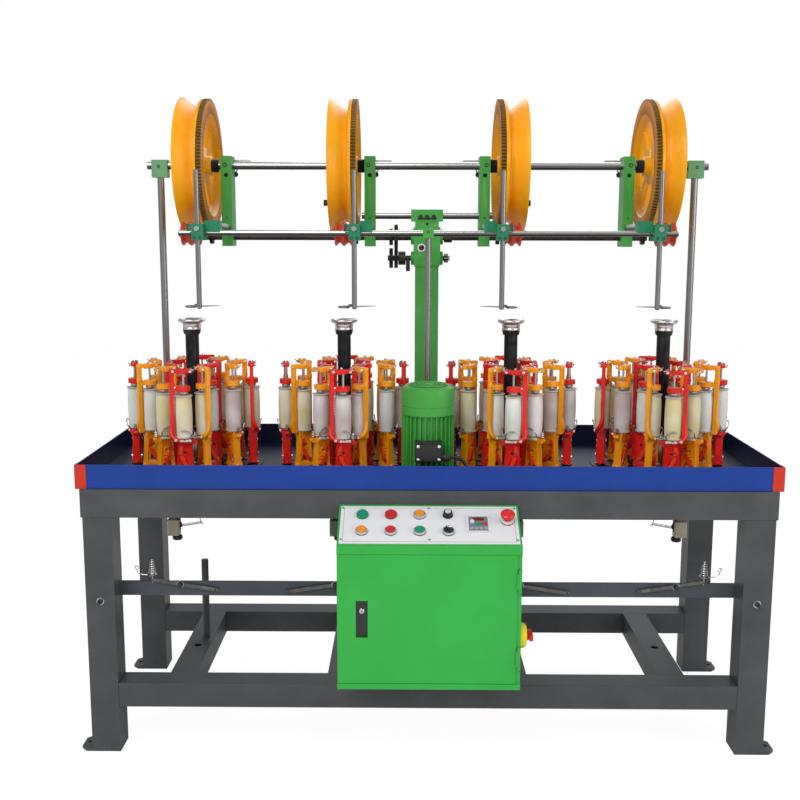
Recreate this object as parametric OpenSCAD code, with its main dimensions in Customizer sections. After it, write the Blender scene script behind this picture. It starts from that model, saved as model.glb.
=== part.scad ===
// Four-head maypole braiding machine for cords and laces.
// Origin: on the floor, at the middle of the four foot bolts. +X to the right, +Z up, front at -Y.

/* [Table] */
// Length of the blue tray along X
tray_len = 1800; // [1780:10:1840]
// Depth of the blue tray along Y
tray_depth = 600; // [590:5:620]
// Height of the tray's walls
tray_wall_h = 63; // [50:1:80]
// Sheet thickness of the tray
tray_t = 3; // [2:0.5:4]
// Height of the grey gear case under the tray
case_h = 74; // [70:1:90]
// Wall of the gear case
case_wall = 5; // [4:0.5:8]
// Height of the legs, foot plates included
leg_h = 637; // [560:1:700]
// Width of the square leg tube
leg_w = 75; // [60:1:80]
// Wall of the square tubes
tube_wall = 4; // [3:0.5:6]
// Thickness of the foot plates
foot_t = 8; // [6:1:12]
// How far a foot plate stands out past its leg
foot_out = 32; // [28:1:40]
// Diameter of the hole in each foot plate
foot_hole_d = 14; // [10:1:16]
// Height of the lower rails
rail_h = 65; // [50:1:80]
// Height of the lower rails' underside above the floor
rail_z = 125; // [80:1:160]
// Width of the four cross rails
cross_w = 70; // [50:1:76]

/* [Braiding heads] */
// Distance of the outer heads from the middle
outer_head_x = 653; // [645:1:660]
// Distance of the inner heads from the middle
inner_head_x = 231; // [228:1:236]
// Horn gears in one head, always even
horn_count = 8; // [8]
// Distance between neighbouring horn gears
horn_pitch = 90; // [88:0.5:92]
// Thickness of the track plates
deck_t = 15; // [12:1:18]
// Width of the track
track_w = 10; // [9:0.5:12]
// How far the carriers stand past the middle of a lobe, in degrees
weave_turn = 8; // [0:1:12]
// Diameter of the carriers' bobbins
bobbin_d = 46; // [40:1:48]
// Height of the bobbins
bobbin_h = 114; // [90:1:120]
// Height of a carrier above the deck
carrier_h = 287; // [280:1:300]
// Outer diameter of the core tubes
core_d = 37; // [30:1:40]
// Bore of the core tubes
core_bore = 25; // [16:1:28]
// Height of the braiding rings' brims above the tray floor
ring_top = 409; // [386:1:421]
// Diameter of the braiding rings' brims
ring_d = 74; // [64:1:80]

/* [Take-up] */
// Height of the take-up wheels' shaft above the tray floor
shaft_z = 835; // [826:1:856]
// How far back the take-up shaft lies
shaft_y = 200; // [196:1:205]
// Diameter of the take-up shaft
shaft_d = 22; // [20:1:24]
// Diameter of the take-up wheels at the outer rim
wheel_d = 380; // [376:1:382]
// Teeth of the take-up wheels
wheel_teeth = 123; // [123:1:125]
// Teeth of the pinions that drive them
pinion_teeth = 12; // [12:1:14]
// Gear module of the take-up wheels
wheel_module = 3; // [3]
// Diameter of the dark drive shaft
drive_d = 20; // [18:1:22]
// Diameter of the front guide rod
front_rod_d = 16; // [14:1:18]
// Height of the front guide rod above the tray floor
front_rod_z = 643; // [638:1:648]
// Diameter of the orange guide rollers
roller_d = 66; // [60:1:68]
// Length of the guide rollers
roller_len = 50; // [44:1:52]
// Diameter of the upright posts at the ends
post_d = 20; // [18:1:24]
// Width of the square column
column_w = 68; // [60:1:74]

/* [Control box] */
// Width of the control box
box_w = 452; // [430:1:465]
// Depth of the control box
box_depth = 135; // [125:1:150]
// Height of the box's underside above the floor
box_z = 241; // [230:1:260]
// Drop of the sloped panel's front edge below the gear case
panel_front_z = 28; // [19:1:37]
// Rise of the sloped panel from front to back
panel_rise = 65; // [55:1:75]
// Sheet thickness of the box
box_t = 2.5; // [2:0.5:4]
// Diameter of the push-button bezels
bezel_d = 30.5; // [28:0.5:33]
// Travel of the push buttons
button_travel = 4; // [3:0.5:5]

/* [Hidden] */
$fn = 48;

// Clearances and the overrun of every cut
overrun = 1;
fit_gap = 0.1;
run_gap = 0.05;
face_gap = 0.3;

// Colours
frame_grey = [0.32, 0.33, 0.34];
bar_blue_grey = [0.42, 0.45, 0.5];
tray_blue = [0.08, 0.25, 0.62];
cap_orange = [0.93, 0.3, 0.12];
machine_green = [0.22, 0.65, 0.28];
clamp_green = [0.1, 0.5, 0.35];
wheel_yellow = [0.98, 0.65, 0.05];
steel = [0.75, 0.76, 0.78];
dark_steel = [0.22, 0.21, 0.2];
black = [0.06, 0.06, 0.06];
red = [0.82, 0.1, 0.07];
orange = [0.98, 0.6, 0.05];
yarn = [0.93, 0.9, 0.75];

// Heights that follow from the driving sizes
case_z = leg_h;
case_floor_t = 8;
tray_z = case_z + case_h;
tray_floor_z = tray_z + tray_t;
tray_top = tray_z + tray_wall_h;
deck_proud = 2;
deck_z = tray_floor_z + deck_proud;
ring_brim_z = tray_floor_z + ring_top;
shaft_axis_z = tray_floor_z + shaft_z;
front_axis_z = tray_floor_z + front_rod_z;
panel_edge_z = case_z - panel_front_z;

// Table
case_inset = 10;
case_x = tray_len / 2 - case_inset;
case_y = tray_depth / 2 + case_wall;
leg_inset = 5;
leg_x = case_x - leg_inset;
leg_y = case_y;
foot_chamfer = 16;
rail_y = leg_y - leg_w;
cross_hole_d = 22;
cross_hole_y = -40;
stand_post_d = 20;
stand_post_h = 235;
stand_post_in = 14;
stand_post_x = stand_post_in - outer_head_x;
stand_post_y = 20;
mid_bar_h = 38;
mid_bar_t = 10;
mid_bar_drop = 232;
mid_bar_z = case_z - mid_bar_drop;
mid_bar_end = 4;
cap_side = 28;
cap_t = 1.5;

// Braiding heads
head_xs = [-outer_head_x, -inner_head_x, inner_head_x, outer_head_x];
horn_ring_r = horn_pitch / 2 / sin(180 / horn_count);
path_r = horn_pitch / 2;
deck_rim_share = 0.3;
deck_r = horn_ring_r + path_r + deck_rim_share * horn_pitch;
deck_lip = 10;
deck_lip_t = deck_t - tray_t - deck_proud;
quoit_r = path_r - track_w / 2;
stem_r = 10;
stem_collar_r = 14;
stem_collar_h = 10;
horn_gap = 0.6;
horn_r = horn_pitch / 2 - horn_gap;
horn_h = 38;
horn_gear_h = 18;
horn_plate_h = 8;
horn_hub_r = 20;
pin_d = 9;
notch_gap = 0.7;
notch_r = pin_d / 2 + notch_gap;
core_flange_r = 30;
core_flange_t = 6;
ring_h = 31;
ring_neck_r = 25;
ring_brim_t = 13;
ring_lip = 3;
core_collar_h = 12;

// Carriers
foot_disc_r = 16;
foot_disc_t = 4;
pin_len = 30;
body_h = 98;
body_half_bottom = 23;
body_half_top = 18;
body_foot_half = 13;
body_foot_h = 22;
body_waist_half = 8.5;
body_back_half = 12;
body_base_t = 7;
body_window = 8;
body_hole_r = 6;
body_hole_z = 62;
shelf_t = 7;
shelf_h = 20;
shelf_reach = 16;
table_r = 20;
table_t = 5;
side_post_y = 30;
side_post_w = 10;
side_post_t = 11;
cap_plate_r = 18;
cap_plate_t = 13;
cap_plate_drop = 46;
bridge_z = carrier_h - cap_plate_drop - cap_plate_t;
arm_reach = 24;
arm_tip_half = 5;
arm_w = 16;
arm_t = 11;
spindle_d = 6;
flange_t = 3;
yarn_shrink = 3;

// Motor
motor_y = -150;
motor_r = 70;
motor_core_r = 60;
motor_fins = 30;
motor_fin_t = 3;
motor_flange_r = 78;
motor_flange_t = 12;
motor_body_h = 175;
motor_cap_h = 72;
motor_cap_r = 71;
motor_cap_edge = 8;
term_w = 71;
term_depth = 34;
term_h = 50;
term_lift = 60;
term_z = tray_floor_z + term_lift;
term_lid_t = 5;
term_lid_inset = 3;
gland_r = 9;
gland_len = 12;
gland_drop = 14;
cable_d = 9;
cable_sides = 10;
cable_route = [[48, -243, 785], [62, -243, 786], [78, -242, 783], [90, -241, 775],
    [97, -240, 762], [99, -239, 746], [99, -239, 732], [99, -239, 722]];
grommet_r = 10;
grommet_h = 8;

// Column and gearbox
column_wall = 5;
column_drop = 24.5;
column_foot_w = 110;
column_foot_t = 10;
gearbox_w = 77;
gearbox_over = 28.5;
gearbox_collar_h = 26;
gearbox_collar_w = 72;
upper_boss_r = 22;
lower_boss_r = 20;
boss_out = 8;
neck_w = 68;
neck_h = 16;
sight_r = 9;
sight_depth = 3;
sight_x = -16;
sight_up = 30.5;
top_block_w = 92;
top_block_depth = 60;
top_block_h = 34;
tee_w = 29;
tee_depth = 34;
tee_h = 26;

// Rods and their clamps
drive_z = shaft_axis_z - wheel_module * (wheel_teeth + pinion_teeth) / 2;
gearbox_top = drive_z + gearbox_over;
stay_z = gearbox_top + neck_h + top_block_h / 2;
stay_d = 20;
front_rod_y = -20;
front_rod_end = 22;
centre_rod_d = 16;
end_post_out = 119;
end_post_x = outer_head_x + end_post_out;
end_clamp_w = 46;
end_clamp_depth = 32;
end_clamp_up = 16;
end_clamp_down = 34;
shaft_over = 14;

// Brackets beside the wheels
bracket_offs = [76, 66, 66, 76];
bracket_w = 31;
bracket_depth = 65;
bracket_up = 26;
bracket_down = 27;
bracket_eye_r = 6;
bracket_eye_drop = 28;
bracket_eye_depth = 18;
stay_over = 9;

// Take-up wheels, x inboard from the middle of the groove
groove_half = 4;
groove_depth = 30;
rim_x = -47;
rim_edge = 3;
rim_wall = 7;
flank_x = 9;
flange_x = 12;
flange_r_drop = 4;
teeth_x = 18;
teeth_w = 14.5;
face_ring_r = 145;
web_x = 6;
web_t = 8;
window_in_r = 50;
window_out_r = 132;
spoke_w = 34;
hub_r = 28;
hub_in_x = 30;
hub_out_x = -40;
collar_r = 19;
inner_collar_end = 50;
outer_collar_end = -58;
crank_r = 105;
crank_t = 6;
crank_w = 12;
crank_knob_r = 9;
crank_knob_len = 22;

// Gear teeth
pressure_angle = 20;
tooth_play = 0.25;
wheel_addendum_share = 0.7;
gear_addendum_share = 1;
dedendum_share = 1.25;
flank_steps = 2;
pinion_w = 11;

// Change gears on the left of the gearbox
change_module = 2;
change_upper_teeth = 34;
change_lower_teeth = 27;
idle_upper_teeth = 22;
change_w = 10.5;
change_x = -89.5;
idle_x = -104;
change_z = drive_z - change_module * (change_upper_teeth + change_lower_teeth) / 2;
column_top = change_z - column_drop;
sight_z = change_z + sight_up;
change_shaft_d = 16;
change_shaft_left = -114;
change_shaft_right = 66;
change_hub_r = 20;
change_hub_x = -83;
change_hub_w = 21;
handle_x = -61;
handle_w = 12;
handle_r = 38;
nut_x = 50;
nut_w = 12;
nut_r = 13;
drive_end_in = 13;
drive_end_x = outer_head_x - drive_end_in;
drive_collar_x = 50;
drive_collar_w = 23;
drive_collar_r = 16;

// Guide rollers and their brackets, x inboard from the head's middle
roller_y = 30;
roller_drop = 2;
roller_z = front_axis_z - roller_drop;
roller_groove_d = 9;
roller_land = 4;
axle_d = 12;
axle_out = -36;
nut_plate_r = 10;
nut_plate_t = 6;
stem_x = 31;
stem_y = -42;
stem_d = 14;
stem_rise = 166;
stem_top = front_axis_z + stem_rise;
block_x0 = 17;
block_x1 = 48;
block_y0 = -56;
block_y1 = -8;
block_down = 20;
block_z0 = front_axis_z - block_down;
block_up = 24;
block_z1 = front_axis_z + block_up;
ear_x = 3;
ear_y1 = -44;
ear_up = 5;
ear_z0 = front_axis_z + ear_up;
ear_hole_r = 4;
web_x0 = 28;
web_x1 = 42;
web_y1 = 45;
web_up = 15;
web_z1 = front_axis_z + web_up;
tie_up = 18;
tie_z = front_axis_z + tie_up;
tie_d = 20;
tie_y0 = -9;
tie_block_w = 26;
tie_block_y0 = -30;
tie_block_y1 = 6;
tie_block_h = 30;

// Ring guides over the braiding rings
eye_lift = 33;
eye_z = ring_brim_z + eye_lift;
eye_r = 13;
eye_wire = 3;
eye_arm_w = 9;
eye_arm_t = 5;
feeler_len = 58;
feeler_d = 4;

// Pawl levers behind the brackets
pawl_bar_len = 62;
pawl_bar_h = 10;
pawl_bar_t = 6;
pawl_lift = 8;
pawl_z = shaft_axis_z + pawl_lift;
pawl_strut_d = 4.5;
pawl_lean = 27;
pawl_knob_r = 8;
pawl_drop = 34;

// Control box
box_y1 = -case_y;
box_y0 = box_y1 - box_depth;
box_rim = 14;
band_t = 6;
top_band_h = 22;
bottom_band_h = 14;
door_t = 4;
door_gap = 1;
door_side_gap = 8;
hinge_r = 5;
hinge_pin_r = 2.5;
hinge_len = 40;
hinge_lug = 8;
hinge_zs_share = [0.2, 0.8];
latch_w = 29;
latch_h = 94;
latch_tip = 12;
latch_in = 61;
latch_x = latch_in - box_w / 2;
latch_drop = 4;
latch_z = (box_z + panel_edge_z) / 2 - latch_drop;
latch_t = 6;
latch_pocket = 12;
latch_gap = 1;
latch_top_gap = 1.6;
latch_pin_r = 1.5;
latch_pin_in = 1.4;
latch_wall = 2;
slope = atan(panel_rise / box_depth);
slope_len = norm([panel_rise, box_depth]);
panel_margin_x = 5;
panel_margin_y = 8;
panel_margin_low = 3;
panel_t = 2;
bezel_wall = 3.5;
button_r = bezel_d / 2 - bezel_wall;
bezel_h = 8;
button_up = 3;
button_gap = 0.08;
button_root = 6;
panel_col_shares = [-0.369, -0.211, -0.052, 0.105];
row_top = 107;
row_low = 46;
stop_row = 86;
display_row = 73;
knob_r = 13;
knob_h = 14;
knob_taper = 3;
knob_stem_r = 3;
selector_r = 11;
selector_h = 7;
selector_bar_h = 9;
selector_bar_w = 6;
selector_angle = 35;
stop_in = 31;
stop_x = box_w / 2 - stop_in;
stop_head_r = 18;
stop_head_h = 11;
stop_head_top_share = 0.75;
stop_stem_r = 9;
stop_collar_h = 7;
stop_lift = 12;
display_in = 104;
display_x = box_w / 2 - display_in;
display_w = 57;
display_h = 62;
display_t = 5;
screw_r = 3.5;
screw_h = 2;
isolator_in = 75;
isolator_y = box_y1 - isolator_in;
isolator_up = 117;
isolator_z = box_z + isolator_up;
isolator_r = 31;
isolator_t = 20;
handle_disc_r = 13;
handle_disc_t = 6;
handle_bar_len = 48;
handle_bar_w = 12;
handle_bar_t = 9;
handle_pin_r = 4;
handle_pin_in = 8;

// Tension levers on the mid bar, x outboard from the machine's middle
lever_leg_in = 231;
lever_pair_gap = 410;
outer_pivot_x = leg_x - lever_leg_in;
inner_pivot_x = outer_pivot_x - lever_pair_gap;
lever_pivot_xs = [outer_pivot_x, inner_pivot_x, inner_pivot_x, outer_pivot_x];
lever_signs = [-1, -1, 1, 1];
lever_up = 33;
lever_pivot_z = mid_bar_z + lever_up;
lever_t = 5;
lever_w = 11;
lever_gap = 3;
lever_bore_r = 3.5;
outer_lever_in = 102;
outer_lever_out = 78;
inner_lever_out = 132;
lever_slope = 9;
spindle_h = 58;
spindle_r = 4;
spring_z = 24;
spring_r = 9;
spring_wire = 1.5;
washer_r = 14;
washer_t = 2;

// Stop-motion boxes under the gear case
stop_box_outs = [63, 13];
stop_box_xs = [-outer_pivot_x - stop_box_outs[0], -inner_pivot_x - stop_box_outs[1],
    inner_pivot_x + stop_box_outs[1], outer_pivot_x + stop_box_outs[0]];
strap_w = 22;
strap_t = 4;
strap_h = 82;
stop_box_w = 34;
stop_box_d = 32;
stop_box_h = 46;
stop_knob_r = 8;
stop_knob_h = 12;

// Fasteners
bolt_head_r = 8;
bolt_head_h = 6;

// Moves shapes drawn for a left-hand head to head number i. +x stays towards the machine's middle.
module at_head(i) {
    translate([head_xs[i], 0, 0])
        mirror([head_xs[i] > 0 ? 1 : 0, 0, 0])
            children();
}

// Mirrors a shape drawn on the +X side to side s, and one drawn at the back to side t
module at_corner(s, t) {
    mirror([s < 0 ? 1 : 0, 0, 0])
        mirror([0, t < 0 ? 1 : 0, 0])
            children();
}

// Round bar along X from x0 to x1
module bar_x(r, x0, x1) {
    translate([x0, 0, 0])
        rotate([0, 90, 0])
            cylinder(r = r, h = x1 - x0);
}

// Round bar along Y from y0 to y1
module bar_y(r, y0, y1) {
    translate([0, y1, 0])
        rotate([90, 0, 0])
            cylinder(r = r, h = y1 - y0);
}

// Lays a flat outline in the Y-Z plane and gives it thickness along +X
module plate_x(t) {
    rotate([90, 0, 90])
        linear_extrude(t)
            children();
}

// Block from corner a to corner b
module block(a, b) {
    translate(a)
        cube(b - a);
}

// Involute of the pressure angle, in degrees
function involute_deg(a) = tan(a) * 180 / PI - a;

// Half the angle that a tooth covers at radius r
function half_tooth(teeth, m, r) =
    let (rp = teeth * m / 2, rb = rp * cos(pressure_angle))
    90 / teeth - tooth_play / rp * 180 / PI / 2
        + involute_deg(pressure_angle) - involute_deg(acos(min(1, rb / max(r, rb))));

// Outline of a spur gear with one tooth centred on +x
function gear_outline(teeth, m, addendum_share) =
    let (rp = teeth * m / 2, rb = rp * cos(pressure_angle), ra = rp + addendum_share * m,
         rf = rp - dedendum_share * m, r0 = max(rf, rb),
         flank = concat(rf < rb ? [rf] : [], [for (k = [0:flank_steps]) r0 + (ra - r0) * k / flank_steps]),
         n = len(flank))
    [for (tooth = [0:teeth - 1], k = [0:2 * n - 1])
        let (r = flank[k < n ? k : 2 * n - 1 - k],
             a = 360 * tooth / teeth + (k < n ? -1 : 1) * half_tooth(teeth, m, r))
        r * [cos(a), sin(a)]];

// Legs: square tubes, each welded to a foot plate with one floor-bolt hole
module legs() {
    color(frame_grey)
        for (s = [-1, 1], t = [-1, 1])
            at_corner(s, t)
                translate([leg_x - leg_w, leg_y - leg_w, 0])
                    leg();
}

module leg() {
    difference() {
        translate([0, 0, foot_t])
            cube([leg_w, leg_w, leg_h - foot_t]);
        translate([tube_wall, tube_wall, foot_t])
            cube([leg_w - 2 * tube_wall, leg_w - 2 * tube_wall, leg_h]);
    }
    linear_extrude(foot_t)
        difference() {
            polygon([[0, 0], [leg_w + foot_out - foot_chamfer, 0], [leg_w + foot_out, foot_chamfer],
                [leg_w + foot_out, leg_w - foot_chamfer], [leg_w + foot_out - foot_chamfer, leg_w],
                [0, leg_w]]);
            translate([leg_w + foot_out / 2, leg_w / 2])
                circle(d = foot_hole_d);
        }
}

// Lower rails at the front and the back, between the legs
module long_rails() {
    color(frame_grey)
        for (t = [-1, 1])
            at_corner(1, t)
                difference() {
                    block([-leg_x + leg_w, rail_y, rail_z], [leg_x - leg_w, leg_y, rail_z + rail_h]);
                    block([-leg_x + leg_w - overrun, rail_y + tube_wall, rail_z + tube_wall],
                        [leg_x - leg_w + overrun, leg_y - tube_wall, rail_z + rail_h - tube_wall]);
                }
}

// Cross rails under the heads, with a black stand post on the left one
module cross_rails() {
    color(frame_grey) {
        for (x = head_xs)
            translate([x, 0, 0])
                difference() {
                    block([-cross_w / 2, -rail_y, rail_z], [cross_w / 2, rail_y, rail_z + rail_h]);
                    block([-cross_w / 2 + tube_wall, -rail_y - overrun, rail_z + tube_wall],
                        [cross_w / 2 - tube_wall, rail_y + overrun, rail_z + rail_h - tube_wall]);
                    if (abs(x) == outer_head_x)
                        translate([0, cross_hole_y, rail_z + rail_h - tube_wall - overrun])
                            cylinder(d = cross_hole_d, h = tube_wall + 2 * overrun);
                }
        translate([stand_post_x, stand_post_y, rail_z + rail_h])
            cylinder(d = stand_post_d, h = stand_post_h);
    }
}

// Flat bar behind the front legs, with a stud for each tension lever
module mid_bar() {
    color(bar_blue_grey) {
        block([-leg_x + mid_bar_end, -rail_y, mid_bar_z],
            [leg_x - mid_bar_end, -rail_y + mid_bar_t, mid_bar_z + mid_bar_h]);
        for (i = [0:3])
            translate([lever_signs[i] * lever_pivot_xs[i], 0, lever_pivot_z])
                bar_y(lever_bore_r - run_gap, -rail_y - lever_gap - lever_t - face_gap, -rail_y);
    }
}

// Gear case: an open steel box that the legs carry and the tray closes
module gear_case() {
    color(frame_grey)
        difference() {
            block([-case_x, -case_y, case_z], [case_x, case_y, tray_z]);
            block([-case_x + case_wall, -case_y + case_wall, case_z + case_floor_t],
                [case_x - case_wall, case_y - case_wall, tray_z + overrun]);
            for (x = head_xs)
                translate([x, 0, case_z - overrun])
                    cylinder(r = core_d / 2 + fit_gap, h = case_floor_t + 2 * overrun);
        }
}

// Blue sheet tray with a round opening for each head
module tray() {
    color(tray_blue) {
        difference() {
            block([-tray_len / 2 + tray_t + face_gap, -tray_depth / 2 + tray_t + face_gap, tray_z],
                [tray_len / 2 - tray_t - face_gap, tray_depth / 2 - tray_t - face_gap, tray_floor_z]);
            for (x = head_xs)
                translate([x, 0, tray_z - overrun])
                    cylinder(r = deck_r, h = tray_t + 2 * overrun);
        }
        for (t = [-1, 1])
            at_corner(1, t)
                block([-tray_len / 2, tray_depth / 2 - tray_t, tray_z], [tray_len / 2, tray_depth / 2, tray_top]);
        for (s = [-1, 1])
            at_corner(s, 1)
                block([tray_len / 2 - tray_t, -tray_depth / 2 + tray_t + face_gap, tray_z],
                    [tray_len / 2, tray_depth / 2 - tray_t - face_gap, tray_top]);
    }
}

// Orange angles folded round the tray's corners
module corner_caps() {
    color(cap_orange)
        for (s = [-1, 1], t = [-1, 1])
            at_corner(s, t)
                translate([tray_len / 2, tray_depth / 2, tray_z])
                    linear_extrude(tray_wall_h)
                        polygon([[0, 0], [0, -cap_side], [cap_t, -cap_side], [cap_t, cap_t],
                            [-cap_side, cap_t], [-cap_side, 0]]);
}

// Circles of radius r round every horn gear of one head
module horn_circles(r) {
    for (k = [0:horn_count - 1])
        rotate(360 * k / horn_count)
            translate([horn_ring_r, 0])
                circle(r = r);
}

// Track plates: outer plate, star plate and a quoit on a stem in each horn gear
module track_plates() {
    color(black)
        for (i = [0:3])
            at_head(i) {
                translate([0, 0, deck_z - deck_t])
                    difference() {
                        union() {
                            cylinder(r = deck_r + deck_lip, h = deck_lip_t);
                            cylinder(r = deck_r - face_gap, h = deck_t);
                        }
                        translate([0, 0, -overrun])
                            linear_extrude(deck_t + 2 * overrun) {
                                horn_circles(path_r + track_w / 2);
                                circle(r = horn_ring_r);
                            }
                    }
                translate([0, 0, deck_z - deck_t])
                    linear_extrude(deck_t)
                        difference() {
                            circle(r = horn_ring_r);
                            horn_circles(path_r + track_w / 2);
                            circle(r = core_d / 2 + fit_gap);
                        }
                for (k = [0:horn_count - 1])
                    rotate(360 * k / horn_count)
                        translate([horn_ring_r, 0, 0])
                            quoit();
            }
}

module quoit() {
    translate([0, 0, deck_z - deck_t])
        cylinder(r = quoit_r, h = deck_t);
    translate([0, 0, case_z + case_floor_t])
        cylinder(r = stem_r, h = deck_z - deck_t - case_z - case_floor_t + overrun);
    translate([0, 0, case_z + case_floor_t])
        cylinder(r = stem_collar_r, h = stem_collar_h);
}

// Horn gears: each carries four notches that push the carriers round
module horn_gears() {
    color(dark_steel)
        for (i = [0:3])
            at_head(i)
                for (k = [0:horn_count - 1])
                    rotate(360 * k / horn_count)
                        translate([horn_ring_r, 0, case_z + case_floor_t + stem_collar_h])
                            rotate(k % 2 == 0 ? weave_turn : -weave_turn)
                                horn_gear();
}

module horn_gear() {
    difference() {
        union() {
            cylinder(r = horn_r, h = horn_gear_h);
            cylinder(r = horn_hub_r, h = horn_h);
            translate([0, 0, horn_h - horn_plate_h])
                cylinder(r = horn_r, h = horn_plate_h);
        }
        translate([0, 0, -overrun])
            cylinder(r = stem_r + fit_gap, h = horn_h + 2 * overrun);
        for (q = [0:3])
            rotate(90 * q)
                translate([path_r, 0, -overrun])
                    cylinder(r = notch_r, h = horn_h + 2 * overrun);
    }
}

// Where the carriers stand: [horn gear, angle round it, 1 for red or 0 for orange, 1 for mirrored]
carrier_places = [for (k = [0:horn_count - 1])
    each k % 2 == 0 ? [[k, weave_turn, 1, 1]]
        : [[k, 180 - weave_turn, 1, 0], [k, 90 - weave_turn, 0, 0], [k, -90 - weave_turn, 0, 0]]];

// Puts a shape at every carrier of one colour, or of both. +x points away from its horn gear,
// and +y to its side post
module at_carriers(colours) {
    for (i = [0:3])
        at_head(i)
            for (p = carrier_places)
                if (len(search(p[2], colours)) > 0)
                    rotate(360 * p[0] / horn_count)
                        translate([horn_ring_r, 0, deck_z])
                            rotate(p[1])
                                translate([path_r, 0, 0])
                                    mirror([0, p[3], 0])
                                        children();
}

module carriers_red() {
    color(red)
        at_carriers([1])
            carrier_casting();
}

module carriers_orange() {
    color(orange)
        at_carriers([0])
            carrier_casting();
}

// Carrier casting: waisted body with a window, guide shelf, bobbin table, side post, bridge and top arm
module carrier_casting() {
    h = body_h - foot_disc_t;
    translate([0, 0, foot_disc_t])
        difference() {
            intersection() {
                translate([-body_foot_half - overrun, 0, 0])
                    plate_x(body_foot_half + shelf_reach + 2 * overrun)
                        polygon([[-body_half_bottom, 0], [body_half_bottom, 0], [body_half_top, h], [-body_half_top, h]]);
                rotate([90, 0, 0])
                    linear_extrude(2 * body_half_bottom + 2 * overrun, center = true)
                        polygon([[-body_foot_half, -overrun], [body_foot_half, -overrun], [body_foot_half, body_base_t],
                            [body_waist_half, body_foot_h], [body_waist_half, h - shelf_h], [shelf_reach, h - shelf_t],
                            [shelf_reach, h + overrun], [-body_back_half, h + overrun], [-body_back_half, h - shelf_t],
                            [-body_waist_half, h - shelf_h], [-body_waist_half, body_foot_h],
                            [-body_foot_half, body_base_t]]);
            }
            translate([-body_foot_half - overrun, 0, 0])
                plate_x(2 * body_foot_half + 2 * overrun) {
                    polygon([[-body_half_bottom + body_window, body_base_t + body_window],
                        [body_half_bottom - body_window, body_base_t + body_window], [0, h / 2]]);
                    translate([0, body_hole_z])
                        circle(r = body_hole_r, $fn = 16);
                }
        }
    translate([0, 0, body_h])
        cylinder(r = table_r, h = table_t, $fn = 32);
    block([-side_post_w / 2, 0, body_h], [side_post_w / 2, side_post_y + side_post_t / 2, body_h + table_t]);
    block([-side_post_w / 2, side_post_y - side_post_t / 2, body_h],
        [side_post_w / 2, side_post_y + side_post_t / 2, carrier_h]);
    difference() {
        union() {
            translate([0, 0, bridge_z])
                cylinder(r = cap_plate_r, h = cap_plate_t, $fn = 32);
            block([-side_post_w / 2, 0, bridge_z], [side_post_w / 2, side_post_y, bridge_z + cap_plate_t]);
        }
        translate([0, 0, bridge_z - overrun])
            cylinder(d = spindle_d + 2 * fit_gap, h = cap_plate_t + 2 * overrun, $fn = 16);
    }
    translate([0, 0, carrier_h - arm_t])
        linear_extrude(arm_t)
            polygon([[-arm_tip_half, -arm_reach], [arm_tip_half, -arm_reach], [arm_w / 2, 0],
                [arm_w / 2, side_post_y - side_post_t], [side_post_w / 2, side_post_y + side_post_t / 2],
                [-side_post_w / 2, side_post_y + side_post_t / 2], [-arm_w / 2, side_post_y - side_post_t],
                [-arm_w / 2, 0]]);
}

// Bobbins wound with yarn
module bobbins() {
    color(yarn)
        at_carriers([0, 1])
            translate([0, 0, body_h + table_t])
                rotate_extrude()
                    polygon([[spindle_d / 2 + fit_gap, 0], [bobbin_d / 2, 0], [bobbin_d / 2, flange_t],
                        [bobbin_d / 2 - yarn_shrink, flange_t], [bobbin_d / 2 - yarn_shrink / 2, bobbin_h / 2],
                        [bobbin_d / 2 - yarn_shrink, bobbin_h - flange_t], [bobbin_d / 2, bobbin_h - flange_t],
                        [bobbin_d / 2, bobbin_h], [spindle_d / 2 + fit_gap, bobbin_h]]);
}

// Carrier feet: a steel disc on the deck, a pin down into the horn gear, and the bobbin's spindle
module carrier_feet() {
    color(steel)
        at_carriers([0, 1]) {
            translate([0, 0, -pin_len])
                cylinder(d = pin_d, h = pin_len + foot_disc_t);
            cylinder(r = foot_disc_r, h = foot_disc_t);
            translate([0, 0, body_h + table_t])
                cylinder(d = spindle_d, h = carrier_h - arm_t - body_h - table_t);
        }
}

// Core tubes, standing through the gear case and the star plates
module core_tubes() {
    color(black)
        for (x = head_xs)
            translate([x, 0, 0])
                difference() {
                    union() {
                        translate([0, 0, case_z])
                            cylinder(d = core_d, h = ring_brim_z - ring_h - case_z);
                        translate([0, 0, case_z + case_floor_t])
                            cylinder(r = core_flange_r, h = core_flange_t);
                        translate([0, 0, deck_z - deck_t - core_flange_t])
                            cylinder(r = core_flange_r, h = core_flange_t);
                        translate([0, 0, ring_brim_z - ring_h - core_collar_h])
                            cylinder(r1 = ring_neck_r - ring_lip, r2 = ring_neck_r, h = core_collar_h);
                    }
                    translate([0, 0, case_z - overrun])
                        cylinder(d = core_bore, h = ring_brim_z - case_z);
                }
}

// Braiding rings: polished bell mouths that form the braid
module braiding_rings() {
    color(steel)
        for (x = head_xs)
            translate([x, 0, ring_brim_z - ring_h])
                rotate_extrude()
                    polygon([[core_bore / 2, 0], [ring_neck_r, 0], [ring_neck_r, ring_h - ring_brim_t],
                        [ring_d / 2 - ring_lip, ring_h - ring_brim_t + ring_lip], [ring_d / 2, ring_h - ring_lip],
                        [ring_d / 2 - ring_lip, ring_h], [ring_neck_r, ring_h - ring_lip],
                        [core_bore / 2, ring_h - ring_brim_t]]);
}

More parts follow.
